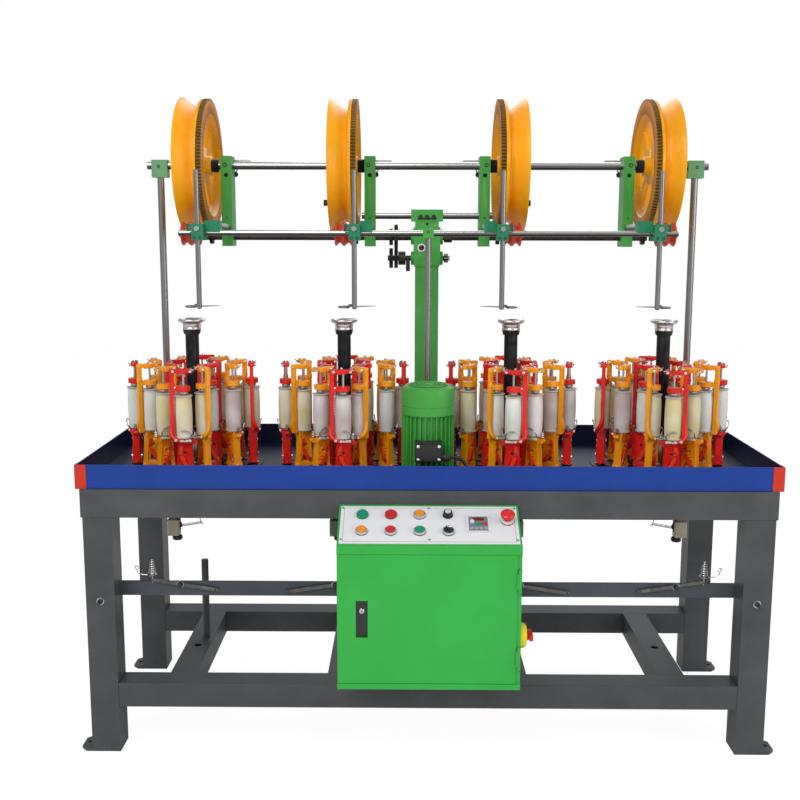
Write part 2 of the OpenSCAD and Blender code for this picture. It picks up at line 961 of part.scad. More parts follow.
// Motor: ribbed body on a flange, under a plain fan cover
module motor() {
    color(machine_green)
        translate([0, motor_y, tray_floor_z]) {
            cylinder(r = motor_flange_r, h = motor_flange_t);
            linear_extrude(motor_body_h)
                polygon([for (k = [0:motor_fins - 1], c = [[motor_core_r, -1], [motor_r, -1],
                    [motor_r, 1], [motor_core_r, 1]])
                    let (a = 360 * k / motor_fins)
                    c[0] * [cos(a), sin(a)] + c[1] * motor_fin_t / 2 * [-sin(a), cos(a)]]);
            translate([0, 0, motor_body_h])
                cylinder(r = motor_cap_r, h = motor_cap_h - motor_cap_edge);
            translate([0, 0, motor_body_h + motor_cap_h - motor_cap_edge])
                cylinder(r1 = motor_cap_r, r2 = motor_cap_r - motor_cap_edge, h = motor_cap_edge);
        }
}

// Terminal box on the motor's front, its cable gland, and the grommet where the cable enters the tray
module terminal_box() {
    front = motor_y - motor_r;
    color(black) {
        difference() {
            block([-term_w / 2, front - term_depth, term_z], [term_w / 2, motor_y, term_z + term_h]);
            translate([0, motor_y, tray_floor_z])
                cylinder(r = motor_r + fit_gap, h = motor_body_h);
        }
        block([-term_w / 2 + term_lid_inset, front - term_depth - term_lid_t, term_z + term_lid_inset],
            [term_w / 2 - term_lid_inset, front - term_depth, term_z + term_h - term_lid_inset]);
        translate([0, cable_route[0][1], cable_route[0][2]])
            bar_x(gland_r, term_w / 2, cable_route[0][0]);
        translate([cable_route[7][0], cable_route[7][1], tray_floor_z])
            cylinder(r = grommet_r, h = cable_route[7][2] - tray_floor_z);
    }
}

// Points of a ring round the cable at route point i
function route_dir(p, i) = let (a = p[max(0, i - 1)], b = p[min(len(p) - 1, i + 1)]) (b - a) / norm(b - a);
function ring_points(p, i, r, sides) =
    let (d = route_dir(p, i), u = cross(d, [0, 1, 0]) / norm(cross(d, [0, 1, 0])), v = cross(d, u))
    [for (k = [0:sides - 1]) p[i] + r * (cos(360 * k / sides) * u + sin(360 * k / sides) * v)];

// Closed tube along the points p
module swept_tube(p, r, sides) {
    n = len(p);
    points = [for (i = [0:n - 1]) each ring_points(p, i, r, sides)];
    sides_faces = [for (i = [0:n - 2], k = [0:sides - 1])
        let (a = i * sides + k, b = i * sides + (k + 1) % sides)
        each [[a, b, b + sides], [a, b + sides, a + sides]]];
    ends = [[for (k = [sides - 1:-1:0]) k], [for (k = [0:sides - 1]) (n - 1) * sides + k]];
    polyhedron(points, concat(sides_faces, ends), convexity = 4);
}

// Cable from the terminal box to the tray floor
module motor_cable() {
    color(black)
        swept_tube(cable_route, cable_d / 2, cable_sides);
}

// Square column behind the motor
module column() {
    color(machine_green)
        translate([0, shaft_y, tray_floor_z]) {
            difference() {
                block([-column_w / 2, -column_w / 2, 0], [column_w / 2, column_w / 2, column_top - tray_floor_z]);
                block([-column_w / 2 + column_wall, -column_w / 2 + column_wall, column_foot_t],
                    [column_w / 2 - column_wall, column_w / 2 - column_wall, column_top]);
            }
            difference() {
                block([-column_foot_w / 2, -column_foot_w / 2, 0], [column_foot_w / 2, column_foot_w / 2, column_foot_t]);
                block([-column_w / 2, -column_w / 2, -overrun], [column_w / 2, column_w / 2, column_foot_t + overrun]);
            }
        }
}

// Gearbox on the column: housing with four shaft bosses, a sight glass and a neck
module gearbox() {
    color(machine_green)
        translate([0, shaft_y, 0])
            difference() {
                union() {
                    block([-gearbox_collar_w / 2, -gearbox_collar_w / 2, column_top],
                        [gearbox_collar_w / 2, gearbox_collar_w / 2, column_top + gearbox_collar_h]);
                    block([-gearbox_w / 2, -gearbox_w / 2, change_z - lower_boss_r],
                        [gearbox_w / 2, gearbox_w / 2, gearbox_top]);
                    block([-neck_w / 2, -neck_w / 2, gearbox_top], [neck_w / 2, neck_w / 2, gearbox_top + neck_h]);
                    translate([0, 0, drive_z])
                        bar_x(upper_boss_r, -gearbox_w / 2 - boss_out, gearbox_w / 2 + boss_out);
                    translate([0, 0, change_z])
                        bar_x(lower_boss_r, -gearbox_w / 2 - boss_out, gearbox_w / 2 + boss_out);
                }
                translate([0, 0, drive_z])
                    bar_x(drive_d / 2 + run_gap, -gearbox_w, gearbox_w);
                translate([0, 0, change_z])
                    bar_x(change_shaft_d / 2 + run_gap, -gearbox_w, gearbox_w);
                translate([sight_x, 0, sight_z])
                    bar_y(sight_r, -gearbox_w / 2 - overrun, -gearbox_w / 2 + sight_depth);
            }
}

// Green blocks that hold the rods: on the gearbox, on the centre rod and on the end posts
module rod_blocks() {
    color(machine_green) {
        translate([0, shaft_y, gearbox_top + neck_h])
            difference() {
                block([-top_block_w / 2, -top_block_depth / 2, 0], [top_block_w / 2, top_block_depth / 2, top_block_h]);
                translate([0, 0, stay_z - gearbox_top - neck_h])
                    bar_x(stay_d / 2 + fit_gap, -top_block_w, top_block_w);
            }
        translate([0, front_rod_y, front_axis_z])
            difference() {
                block([-tee_w / 2, -tee_depth / 2, -tee_h / 2], [tee_w / 2, tee_depth / 2, tee_h / 2]);
                bar_x(front_rod_d / 2 + fit_gap, -tee_w, tee_w);
                translate([0, 0, -tee_h])
                    cylinder(d = centre_rod_d + 2 * fit_gap, h = tee_h);
            }
        for (s = [-1, 1])
            at_corner(s, 1)
                translate([end_post_x, shaft_y, shaft_axis_z])
                    difference() {
                        block([-end_clamp_w / 2, -end_clamp_depth / 2, -end_clamp_down],
                            [end_clamp_w / 2, end_clamp_depth / 2, end_clamp_up]);
                        bar_x(shaft_d / 2 + fit_gap, -end_clamp_w, end_clamp_w);
                        translate([0, 0, -end_clamp_down - overrun])
                            cylinder(d = post_d + 2 * fit_gap, h = end_clamp_down);
                    }
    }
}

// Posts at the two ends and the thinner one in the middle, standing on the tray floor
module end_posts() {
    color(steel) {
        for (s = [-1, 1])
            translate([s * end_post_x, shaft_y, tray_floor_z])
                cylinder(d = post_d, h = shaft_axis_z - shaft_d / 2 - fit_gap - tray_floor_z);
        translate([0, front_rod_y, tray_floor_z])
            cylinder(d = centre_rod_d, h = front_axis_z - front_rod_d / 2 - fit_gap - tray_floor_z);
    }
}

// Fixed rods: take-up shaft, stay rod, front guide rod and the ties to the roller brackets
module cross_rods() {
    stay_half = inner_head_x - bracket_offs[1] + bracket_w / 2 + stay_over;
    color(steel) {
        translate([0, shaft_y, shaft_axis_z])
            bar_x(shaft_d / 2, -end_post_x - end_clamp_w / 2 - shaft_over, end_post_x + end_clamp_w / 2 + shaft_over);
        translate([0, shaft_y, stay_z])
            bar_x(stay_d / 2, -stay_half, stay_half);
        translate([0, front_rod_y, front_axis_z])
            bar_x(front_rod_d / 2, -outer_head_x - front_rod_end, outer_head_x + front_rod_end);
        for (i = [0:3])
            at_head(i)
                translate([bracket_offs[i], 0, tie_z])
                    bar_y(tie_d / 2, tie_y0, shaft_y - bracket_depth / 2);
    }
}

// Brackets: flat bars beside the wheels that hang the drive shaft below the take-up shaft
module brackets() {
    color(machine_green)
        for (i = [0:3])
            at_head(i)
                translate([bracket_offs[i] - bracket_w / 2, shaft_y, 0])
                    difference() {
                        block([0, -bracket_depth / 2, drive_z - bracket_down],
                            [bracket_w, bracket_depth / 2, shaft_axis_z + bracket_up]);
                        translate([0, 0, shaft_axis_z])
                            bar_x(shaft_d / 2 + fit_gap, -overrun, bracket_w + overrun);
                        translate([0, 0, drive_z])
                            bar_x(drive_d / 2 + run_gap, -overrun, bracket_w + overrun);
                        if (abs(head_xs[i]) == inner_head_x)
                            translate([0, 0, stay_z])
                                bar_x(stay_d / 2 + fit_gap, -overrun, bracket_w + overrun);
                        translate([bracket_w / 2, 0, shaft_axis_z - bracket_eye_drop])
                            bar_y(bracket_eye_r, -bracket_depth / 2 - overrun, -bracket_depth / 2 + bracket_eye_depth);
                    }
}

// Roller brackets: clamp block on the front rod and the guide stem, web and axle of the guide roller
module roller_brackets() {
    color(clamp_green)
        for (i = [0:3])
            at_head(i) {
                tie_x = bracket_offs[i];
                difference() {
                    union() {
                        block([block_x0, block_y0, block_z0], [block_x1, block_y1, block_z1]);
                        block([ear_x, block_y0, ear_z0], [block_x0, ear_y1, block_z1]);
                        block([web_x0, block_y1, block_z0], [web_x1, web_y1, web_z1]);
                        block([block_x1 - overrun, tie_block_y0, tie_z - tie_block_h / 2],
                            [tie_x + tie_block_w / 2, tie_block_y1, tie_z + tie_block_h / 2]);
                    }
                    translate([0, front_rod_y, front_axis_z])
                        bar_x(front_rod_d / 2 + fit_gap, 0, tie_x + tie_block_w);
                    translate([stem_x, stem_y, block_z0 - overrun])
                        cylinder(d = stem_d + 2 * fit_gap, h = block_z1 - block_z0 + 2 * overrun);
                    translate([tie_x, 0, tie_z])
                        bar_y(tie_d / 2 + fit_gap, tie_y0, tie_block_y1 + overrun);
                    translate([ear_x + (block_x0 - ear_x) / 2, 0, (ear_z0 + block_z1) / 2])
                        bar_y(ear_hole_r, block_y0 - overrun, ear_y1 + overrun);
                }
                translate([0, roller_y, roller_z]) {
                    bar_x(axle_d / 2, axle_out, web_x0);
                    bar_x(nut_plate_r, axle_out + nut_plate_t / 2, -roller_len / 2 - face_gap);
                }
            }
}

// Ring guides: a stem in each roller bracket with an eye over the braiding ring and a wire feeler
module ring_guides() {
    arm_len = norm([stem_x, stem_y]);
    color(steel)
        for (i = [0:3])
            at_head(i) {
                translate([stem_x, stem_y, eye_z])
                    cylinder(d = stem_d, h = stem_top - eye_z);
                translate([0, 0, eye_z])
                    rotate_extrude()
                        translate([eye_r, 0])
                            circle(r = eye_wire, $fn = 24);
                rotate(atan2(stem_y, stem_x))
                    block([eye_r, -eye_arm_w / 2, eye_z - eye_arm_t / 2], [arm_len, eye_arm_w / 2, eye_z + eye_arm_t / 2]);
                translate([0, stem_y, eye_z + eye_arm_t])
                    bar_x(feeler_d / 2, stem_x, stem_x + feeler_len);
            }
}

// Pawl levers behind the brackets: bar, slanted strut and knob
module pawl_levers() {
    color(dark_steel)
        for (i = [0:3])
            at_head(i) {
                x0 = bracket_offs[i];
                y0 = shaft_y + bracket_depth / 2;
                block([x0, y0, pawl_z], [x0 + pawl_bar_len, y0 + pawl_bar_t, pawl_z + pawl_bar_h]);
                translate([x0 + pawl_bar_len / 2, y0 + pawl_bar_t / 2, pawl_z])
                    rotate([0, 180 + pawl_lean, 0])
                        cylinder(d = pawl_strut_d, h = pawl_drop);
                translate([x0 + pawl_bar_len / 2 - pawl_drop * sin(pawl_lean), 0,
                    pawl_z - pawl_drop * cos(pawl_lean)])
                    bar_y(pawl_knob_r, y0, y0 + 2 * pawl_bar_t);
            }
}

// Take-up wheel: V-grooved rim, toothed flange, web with windows, hub, black collars and a crank
module take_up_wheel(i) {
    r = wheel_d / 2;
    groove_r = r - groove_depth;
    root_r = wheel_module * (wheel_teeth / 2 - dedendum_share);
    at_head(i)
        translate([0, shaft_y, shaft_axis_z]) {
            difference() {
                union() {
                    rotate([0, 90, 0])
                        rotate_extrude($fn = 96)
                            polygon([[r, rim_x], [r, rim_x + rim_edge], [groove_r, -groove_half],
                                [groove_r, groove_half], [r - flange_r_drop - rim_edge, flank_x],
                                [r - flange_r_drop, flange_x], [r - flange_r_drop, teeth_x],
                                [root_r - rim_edge, teeth_x], [root_r - rim_edge, teeth_x + teeth_w],
                                [face_ring_r, teeth_x + teeth_w], [face_ring_r, groove_half],
                                [groove_r - rim_wall, -groove_half], [r - rim_wall, rim_x]]);
                    translate([teeth_x, 0, 0])
                        plate_x(teeth_w)
                            difference() {
                                rotate(-90 + 180 / wheel_teeth)
                                    polygon(gear_outline(wheel_teeth, wheel_module, wheel_addendum_share));
                                circle(r = face_ring_r + rim_edge);
                            }
                    translate([web_x, 0, 0])
                        plate_x(web_t)
                            difference() {
                                circle(r = face_ring_r + rim_edge);
                                difference() {
                                    circle(r = window_out_r);
                                    circle(r = window_in_r);
                                    for (a = [0, 90])
                                        rotate(a + 45)
                                            square([wheel_d, spoke_w], center = true);
                                }
                            }
                    bar_x(hub_r, hub_out_x, hub_in_x);
                    bar_x(collar_r, outer_collar_end, inner_collar_end - (i == 0 || i == 3 ? 0 : 2 * run_gap));
                }
                bar_x(shaft_d / 2 + run_gap, outer_collar_end - overrun, inner_collar_end + overrun);
            }
            if (i == 1 || i == 2) {
                difference() {
                    block([outer_collar_end, -crank_w / 2, -crank_r], [outer_collar_end + crank_t, crank_w / 2, 0]);
                    bar_x(collar_r - rim_edge, outer_collar_end - overrun, outer_collar_end + crank_t + overrun);
                }
                translate([0, 0, -crank_r])
                    bar_x(crank_knob_r, outer_collar_end - crank_knob_len / 2, outer_collar_end + crank_t);
            }
        }
}

module take_up_wheel_1() { color(wheel_yellow) take_up_wheel(0); }
module take_up_wheel_2() { color(wheel_yellow) take_up_wheel(1); }
module take_up_wheel_3() { color(wheel_yellow) take_up_wheel(2); }
module take_up_wheel_4() { color(wheel_yellow) take_up_wheel(3); }

// Drive shaft with a pinion for each take-up wheel and the two upper change gears
module drive_shaft() {
    color(dark_steel)
        translate([0, shaft_y, drive_z]) {
            bar_x(drive_d / 2, -drive_end_x, drive_end_x);
            for (i = [0:3])
                translate([head_xs[i], 0, 0])
                    mirror([head_xs[i] > 0 ? 1 : 0, 0, 0])
                        translate([teeth_x + (teeth_w - pinion_w) / 2, 0, 0])
                            plate_x(pinion_w)
                                rotate(90)
                                    polygon(gear_outline(pinion_teeth, wheel_module, gear_addendum_share));
            translate([change_x - change_w / 2, 0, 0])
                plate_x(change_w)
                    rotate(-90 + 180 / change_upper_teeth)
                        polygon(gear_outline(change_upper_teeth, change_module, gear_addendum_share));
            translate([idle_x - change_w / 2, 0, 0])
                plate_x(change_w)
                    polygon(gear_outline(idle_upper_teeth, change_module, gear_addendum_share));
            bar_x(drive_collar_r, drive_collar_x, drive_collar_x + drive_collar_w);
        }
}

// Change-gear shaft: two gears, a black hub with a handle, and a nut
module change_gear_shaft() {
    color(dark_steel)
        translate([0, shaft_y, change_z]) {
            bar_x(change_shaft_d / 2, change_shaft_left, change_shaft_right);
            translate([change_x - change_w / 2, 0, 0])
                plate_x(change_w)
                    rotate(90)
                        polygon(gear_outline(change_lower_teeth, change_module, gear_addendum_share));
            translate([idle_x - change_w / 2, 0, 0])
                plate_x(change_w)
                    rotate(90)
                        polygon(gear_outline(change_lower_teeth, change_module, gear_addendum_share));
            bar_x(change_hub_r, change_hub_x, change_hub_x + change_hub_w);
            block([handle_x, -handle_w / 2, -handle_r], [handle_x + handle_w, handle_w / 2, 0]);
            translate([nut_x, 0, 0])
                rotate([0, 90, 0])
                    cylinder(r = nut_r, h = nut_w, $fn = 6);
        }
}

// Guide roller with two grooves, free on its axle
module guide_roller(i) {
    h = roller_len / 2;
    r = roller_d / 2;
    land = roller_land / 2;
    color(cap_orange)
        at_head(i)
            translate([0, roller_y, roller_z])
                rotate([0, 90, 0])
                    rotate_extrude()
                        polygon([[axle_d / 2 + run_gap, -h], [r - land, -h], [r, -h + land], [r, -h + 2 * land],
                            [r - roller_groove_d, -h / 2], [r, -land], [r, land],
                            [r - roller_groove_d, h / 2], [r, h - 2 * land], [r, h - land],
                            [r - land, h], [axle_d / 2 + run_gap, h]]);
}

module guide_roller_1() { guide_roller(0); }
module guide_roller_2() { guide_roller(1); }
module guide_roller_3() { guide_roller(2); }
module guide_roller_4() { guide_roller(3); }

// Sets a shape on the sloped panel: x along the box, y up the slope, z out of it
module on_panel(p) {
    translate([0, box_y0, panel_edge_z])
        rotate([slope, 0, 0])
            translate([p[0], p[1], 0])
                children();
}

// Places of the six push buttons, the speed knob and the selector
button_places = [for (y = [row_top, row_low], c = [0:2]) [panel_col_shares[c] * box_w, y]];
knob_place = [panel_col_shares[3] * box_w, row_top];
selector_place = [panel_col_shares[3] * box_w, row_low];
stop_place = [stop_x, stop_row];

// Holes under the panel's controls
module panel_holes(depth) {
    for (p = button_places)
        translate([p[0], p[1], -depth])
            cylinder(r = button_r + button_gap, h = 2 * depth);
    for (p = [knob_place, selector_place])
        translate([p[0], p[1], -depth])
            cylinder(r = knob_stem_r + button_gap, h = 2 * depth);
    translate([stop_place[0], stop_place[1], -depth])
        cylinder(r = stop_stem_r + button_gap, h = 2 * depth);
}

// Control box shell: folded sheet with a sloped top, bands above and below the door, hinge pins
module box_shell() {
    color(machine_green)
        difference() {
            union() {
                translate([-box_w / 2, 0, 0])
                    plate_x(box_w)
                        polygon([[box_y0, box_z], [box_y1, box_z], [box_y1, panel_edge_z + panel_rise],
                            [box_y0, panel_edge_z]]);
                block([-box_w / 2, box_y0 - band_t, panel_edge_z - top_band_h], [box_w / 2, box_y0, panel_edge_z]);
                block([-box_w / 2, box_y0 - band_t, box_z], [box_w / 2, box_y0, box_z + bottom_band_h]);
                for (z = door_hinge_zs, e = [-1, 1])
                    translate([hinge_x, hinge_y, z + e * (hinge_len + hinge_lug + 2 * face_gap) / 2 - hinge_lug / 2]) {
                        cylinder(r = hinge_r - face_gap, h = hinge_lug);
                        block([-hinge_pin_r - overrun, 0, 0], [box_w / 2 - hinge_x, box_y0 - hinge_y, hinge_lug]);
                    }
                for (z = door_hinge_zs)
                    translate([hinge_x, hinge_y, z - hinge_len / 2 - hinge_lug])
                        cylinder(r = hinge_pin_r, h = hinge_len + 2 * hinge_lug);
            }
            translate([-box_w / 2 + box_t, 0, 0])
                plate_x(box_w - 2 * box_t)
                    polygon([[box_y0 + box_t, box_z + box_t], [box_y1 - box_t, box_z + box_t],
                        [box_y1 - box_t, panel_edge_z + panel_rise - box_t / cos(slope) - box_t * tan(slope)],
                        [box_y0 + box_t, panel_edge_z - box_t / cos(slope) + box_t * tan(slope)]]);
            block([-box_w / 2 + box_rim, box_y0 - overrun, box_z + bottom_band_h + box_rim],
                [box_w / 2 - box_rim, box_y0 + box_t + overrun, panel_edge_z - top_band_h - box_rim]);
            on_panel([0, 0])
                panel_holes(2 * box_t);
        }
}

// Door hinge line, at the right of the box
door_z0 = box_z + bottom_band_h + door_gap;
door_z1 = panel_edge_z - top_band_h - door_gap;
door_hinge_zs = [for (s = hinge_zs_share) door_z0 + s * (door_z1 - door_z0)];
hinge_x = box_w / 2 - hinge_r;
hinge_y = box_y0 - hinge_r - face_gap;

// Door: sheet with a pocket for the latch and two hinge barrels
module box_door() {
    x1 = hinge_x - hinge_r - door_gap;
    color(machine_green) {
        difference() {
            union() {
                block([-box_w / 2 + door_gap, box_y0 - door_t, door_z0], [x1, box_y0, door_z1]);
                for (z = door_hinge_zs)
                    translate([hinge_x, hinge_y, z - hinge_len / 2]) {
                        cylinder(r = hinge_r - face_gap, h = hinge_len);
                        block([x1 - hinge_x - overrun, -hinge_pin_r - overrun, 0],
                            [-hinge_pin_r, hinge_pin_r, hinge_len]);
                    }
                block([latch_x - latch_w / 2 - latch_wall, box_y0, latch_z - latch_h / 2 - latch_wall],
                    [latch_x + latch_w / 2 + latch_wall, box_y0 - door_t + latch_pocket + latch_wall,
                    latch_z + latch_h / 2 + latch_wall]);
            }
            for (z = door_hinge_zs)
                translate([hinge_x, hinge_y, z - hinge_len / 2 - overrun])
                    cylinder(r = hinge_pin_r + run_gap, h = hinge_len + 2 * overrun);
            block([latch_x - latch_w / 2, box_y0 - door_t - overrun, latch_z - latch_h / 2],
                [latch_x + latch_w / 2, box_y0 - door_t + latch_pocket, latch_z + latch_h / 2]);
            translate([latch_x, latch_y, latch_pin_z])
                bar_x(latch_pin_r + run_gap, -latch_w / 2 - latch_pin_in - face_gap,
                    latch_w / 2 + latch_pin_in + face_gap);
        }
    }
}

// Middle of the latch's thickness, and the height of its pin
latch_y = box_y0 - door_t + latch_gap + latch_t / 2;
latch_pin_z = latch_z + latch_h / 2 - latch_top_gap - latch_t / 2;

// Latch paddle in the door's pocket, turning on a pin at its top
module door_latch() {
    w = latch_w / 2 - face_gap;
    z0 = -latch_h / 2 + face_gap;
    z1 = latch_h / 2 - latch_top_gap;
    color(black) {
        translate([latch_x, latch_y + latch_t / 2, latch_z])
            rotate([90, 0, 0])
                linear_extrude(latch_t)
                    polygon([[-w, z1], [w, z1], [w, z0 + latch_tip], [0, z0], [-w, z0 + latch_tip]]);
        translate([latch_x, latch_y, latch_pin_z])
            bar_x(latch_pin_r, -latch_w / 2 - latch_pin_in, latch_w / 2 + latch_pin_in);
    }
}

// Panel plate with its six screws
module panel_plate() {
    color(steel)
        on_panel([0, 0])
            difference() {
                block([-box_w / 2 + panel_margin_x, panel_margin_low, 0],
                    [box_w / 2 - panel_margin_x, slope_len - panel_margin_y, panel_t]);
                panel_holes(2 * panel_t);
            }
}

// Display module on the panel
module display_module() {
    color(dark_steel)
        on_panel([display_x, display_row])
            block([-display_w / 2, -display_h / 2, panel_t], [display_w / 2, display_h / 2, panel_t + display_t]);
}

// Bezels round the push buttons, the selector and the emergency stop
module button_bezels() {
    color(steel) {
        for (p = button_places)
            on_panel(p)
                translate([0, 0, panel_t])
                    difference() {
                        cylinder(r = bezel_d / 2, h = bezel_h);
                        translate([0, 0, -overrun])
                            cylinder(r = button_r + button_gap, h = bezel_h + 2 * overrun);
                    }
        on_panel(selector_place)
            translate([0, 0, panel_t])
                difference() {
                    cylinder(r = bezel_d / 2, h = bezel_h);
                    translate([0, 0, -overrun])
                        cylinder(r = selector_r + face_gap, h = bezel_h + 2 * overrun);
                }
        on_panel(stop_place)
            translate([0, 0, panel_t])
                difference() {
                    cylinder(r = bezel_d / 2, h = stop_collar_h);
                    translate([0, 0, -overrun])
                        cylinder(r = stop_stem_r + button_gap, h = stop_collar_h + 2 * overrun);
                }
    }
}

// Push button: a round cap that slides in its bezel
module push_button(k, tint) {
    color(tint)
        on_panel(button_places[k])
            translate([0, 0, -button_root])
                cylinder(r = button_r, h = button_root + panel_t + bezel_h + button_up);
}

module start_button() { push_button(0, [0, 0.6, 0.4]); }
module stop_button() { push_button(1, red); }
module jog_button() { push_button(2, orange); }
module reset_button() { push_button(3, orange); }
module alarm_button() { push_button(4, red); }
module light_button() { push_button(5, [0, 0.6, 0.4]); }

// Speed knob on its spindle
module speed_knob() {
    color(black)
        on_panel(knob_place) {
            translate([0, 0, panel_t + face_gap])
                cylinder(r1 = knob_r, r2 = knob_r - knob_taper, h = knob_h);
            translate([0, 0, -box_t])
                cylinder(r = knob_stem_r, h = box_t + panel_t + 2 * face_gap);
        }
}

// Selector knob: disc with a raised bar
module selector_knob() {
    color(black)
        on_panel(selector_place) {
            translate([0, 0, panel_t + face_gap])
                cylinder(r = selector_r, h = selector_h + face_gap);
            translate([0, 0, -box_t])
                cylinder(r = knob_stem_r, h = box_t + panel_t + 2 * face_gap);
            rotate(selector_angle)
                block([-selector_bar_w / 2, -selector_r + overrun, panel_t + selector_h],
                    [selector_bar_w / 2, selector_r - overrun, panel_t + selector_h + selector_bar_h]);
        }
}

// Emergency stop: mushroom head on a stem
module emergency_stop() {
    z0 = panel_t + stop_collar_h + stop_lift;
    color(red)
        on_panel(stop_place) {
            translate([0, 0, -button_root])
                cylinder(r = stop_stem_r, h = button_root + z0 + overrun);
            translate([0, 0, z0])
                cylinder(r = stop_head_r, h = stop_head_h / 2);
            translate([0, 0, z0 + stop_head_h / 2])
                cylinder(r1 = stop_head_r, r2 = stop_head_top_share * stop_head_r, h = stop_head_h / 2);
        }
}

// Isolator switch on the right side of the box
module isolator_base() {
    color([0.98, 0.85, 0.05])
        translate([box_w / 2, isolator_y, isolator_z])
            difference() {
                bar_x(isolator_r, 0, isolator_t);
                bar_x(handle_pin_r + run_gap, isolator_t - handle_pin_in - face_gap, isolator_t + overrun);
            }
}

module isolator_handle() {
    color(red)
        translate([box_w / 2 + isolator_t + face_gap, isolator_y, isolator_z]) {
            bar_x(handle_disc_r, 0, handle_disc_t);
            bar_x(handle_pin_r, -handle_pin_in, overrun);
            block([handle_disc_t - overrun, -handle_bar_len / 2, -handle_bar_w / 2],
                [handle_disc_t + handle_bar_t, handle_bar_len / 2, handle_bar_w / 2]);
        }
}

// Tension lever: flat bar on a stud, the outer ones with a sprung spindle at the end
module tension_lever(i) {
    outer = i == 0 || i == 3;
    back = -rail_y - lever_gap;
    color(steel)
        translate([lever_signs[i] * lever_pivot_xs[i], 0, lever_pivot_z])
            mirror([lever_signs[i] > 0 ? 1 : 0, 0, 0]) {
                rotate([0, outer ? lever_slope : -lever_slope, 0])
                    difference() {
                        block([outer ? -outer_lever_out : -inner_lever_out, back - lever_t, -lever_w / 2],
                            [outer ? outer_lever_in : lever_w, back, lever_w / 2]);
                        bar_y(lever_bore_r, back - lever_t - overrun, back + overrun);
                        if (!outer)
                            translate([-inner_lever_out + lever_w / 2, 0, 0])
                                bar_y(lever_bore_r, back - lever_t - overrun, back + overrun);
                    }
                if (outer)
                    translate([-outer_lever_out + spindle_r, back - lever_t / 2, 0]) {
                        cylinder(r = spindle_r, h = spindle_h + lever_w);
                        translate([0, 0, spring_z])
                            cylinder(r = washer_r, h = washer_t);
                        translate([0, 0, spring_z])
                            cylinder(r1 = spring_r, r2 = spindle_r + spring_wire, h = spindle_h - spring_z);
                    }
            }
}

module tension_lever_1() { tension_lever(0); }
module tension_lever_2() { tension_lever(1); }
module tension_lever_3() { tension_lever(2); }
module tension_lever_4() { tension_lever(3); }

// Stop-motion boxes on straps under the gear case, each with a knob below
module stop_motion_boxes() {
    color([0.8, 0.76, 0.66])
        for (x = stop_box_xs)
            translate([x, 0, case_z]) {
                block([-strap_w / 2, 0, -strap_h], [strap_w / 2, strap_t, 0]);
                block([-stop_box_w / 2, -stop_box_d, -strap_h - stop_box_h], [stop_box_w / 2, strap_t, -strap_h]);
                translate([0, -stop_box_d / 2, -strap_h - stop_box_h - stop_knob_h])
                    cylinder(r = stop_knob_r, h = stop_knob_h);
            }
}

// Fasteners: leg bolts, lever knobs, panel and terminal-box screws
module fasteners() {
    color(dark_steel) {
        for (s = [-1, 1])
            translate([s * (leg_x - leg_w / 2), 0, mid_bar_z + mid_bar_h / 4])
                bar_y(bolt_head_r, -leg_y - bolt_head_h, -leg_y);
        for (i = [0:3])
            translate([lever_signs[i] * lever_pivot_xs[i], 0, lever_pivot_z])
                bar_y(bolt_head_r, -rail_y - lever_gap - lever_t - face_gap - 2 * bolt_head_h,
                    -rail_y - lever_gap - lever_t - face_gap);
        for (x = [-box_w / 2 + 2 * panel_margin_x, 0, box_w / 2 - 2 * panel_margin_x],
             y = [2 * panel_margin_y, slope_len - 2 * panel_margin_y])
            on_panel([x, y])
                translate([0, 0, panel_t])
                    cylinder(r = screw_r, h = screw_h);
    }
}

legs();
long_rails();
cross_rails();
mid_bar();
gear_case();
tray();
corner_caps();
track_plates();
horn_gears();
carriers_red();
carriers_orange();
bobbins();
carrier_feet();
core_tubes();
braiding_rings();
motor();
terminal_box();
motor_cable();
column();
gearbox();
rod_blocks();
end_posts();
cross_rods();
brackets();
roller_brackets();
ring_guides();
pawl_levers();
box_shell();
box_door();
door_latch();
panel_plate();
display_module();
button_bezels();
start_button();
stop_button();
jog_button();
reset_button();
alarm_button();
light_button();
speed_knob();
selector_knob();
emergency_stop();
isolator_base();
isolator_handle();
drive_shaft();
change_gear_shaft();
take_up_wheel_1();
take_up_wheel_2();
take_up_wheel_3();
take_up_wheel_4();
guide_roller_1();
guide_roller_2();
guide_roller_3();
guide_roller_4();
tension_lever_1();
tension_lever_2();
tension_lever_3();
tension_lever_4();
stop_motion_boxes();
fasteners();
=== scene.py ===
"""Four-head maypole braiding machine, dressed over its CAD frame and lit for a studio picture."""
import math

import bmesh
import bpy
import numpy as np
from mathutils import Matrix


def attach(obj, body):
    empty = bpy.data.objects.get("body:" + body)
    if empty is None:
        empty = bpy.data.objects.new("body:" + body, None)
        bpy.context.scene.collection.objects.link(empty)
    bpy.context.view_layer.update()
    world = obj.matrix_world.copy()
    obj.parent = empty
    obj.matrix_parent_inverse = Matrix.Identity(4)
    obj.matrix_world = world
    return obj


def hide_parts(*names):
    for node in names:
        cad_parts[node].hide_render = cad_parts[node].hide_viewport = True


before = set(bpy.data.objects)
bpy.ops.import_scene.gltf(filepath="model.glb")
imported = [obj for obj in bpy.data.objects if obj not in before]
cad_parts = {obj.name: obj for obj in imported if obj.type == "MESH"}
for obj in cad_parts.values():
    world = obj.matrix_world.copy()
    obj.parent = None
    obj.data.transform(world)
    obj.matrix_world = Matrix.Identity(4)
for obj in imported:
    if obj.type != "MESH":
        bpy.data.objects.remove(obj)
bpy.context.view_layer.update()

# The camera stands almost three metres in front of the table, a little left of its middle,
# and looks slightly down from above the bobbins.
camera = bpy.data.objects.new("camera", bpy.data.cameras.new("camera"))
bpy.context.scene.collection.objects.link(camera)
bpy.context.scene.camera = camera
camera.data.sensor_width = 36
camera.data.lens = 47.35
camera.data.clip_end = 40
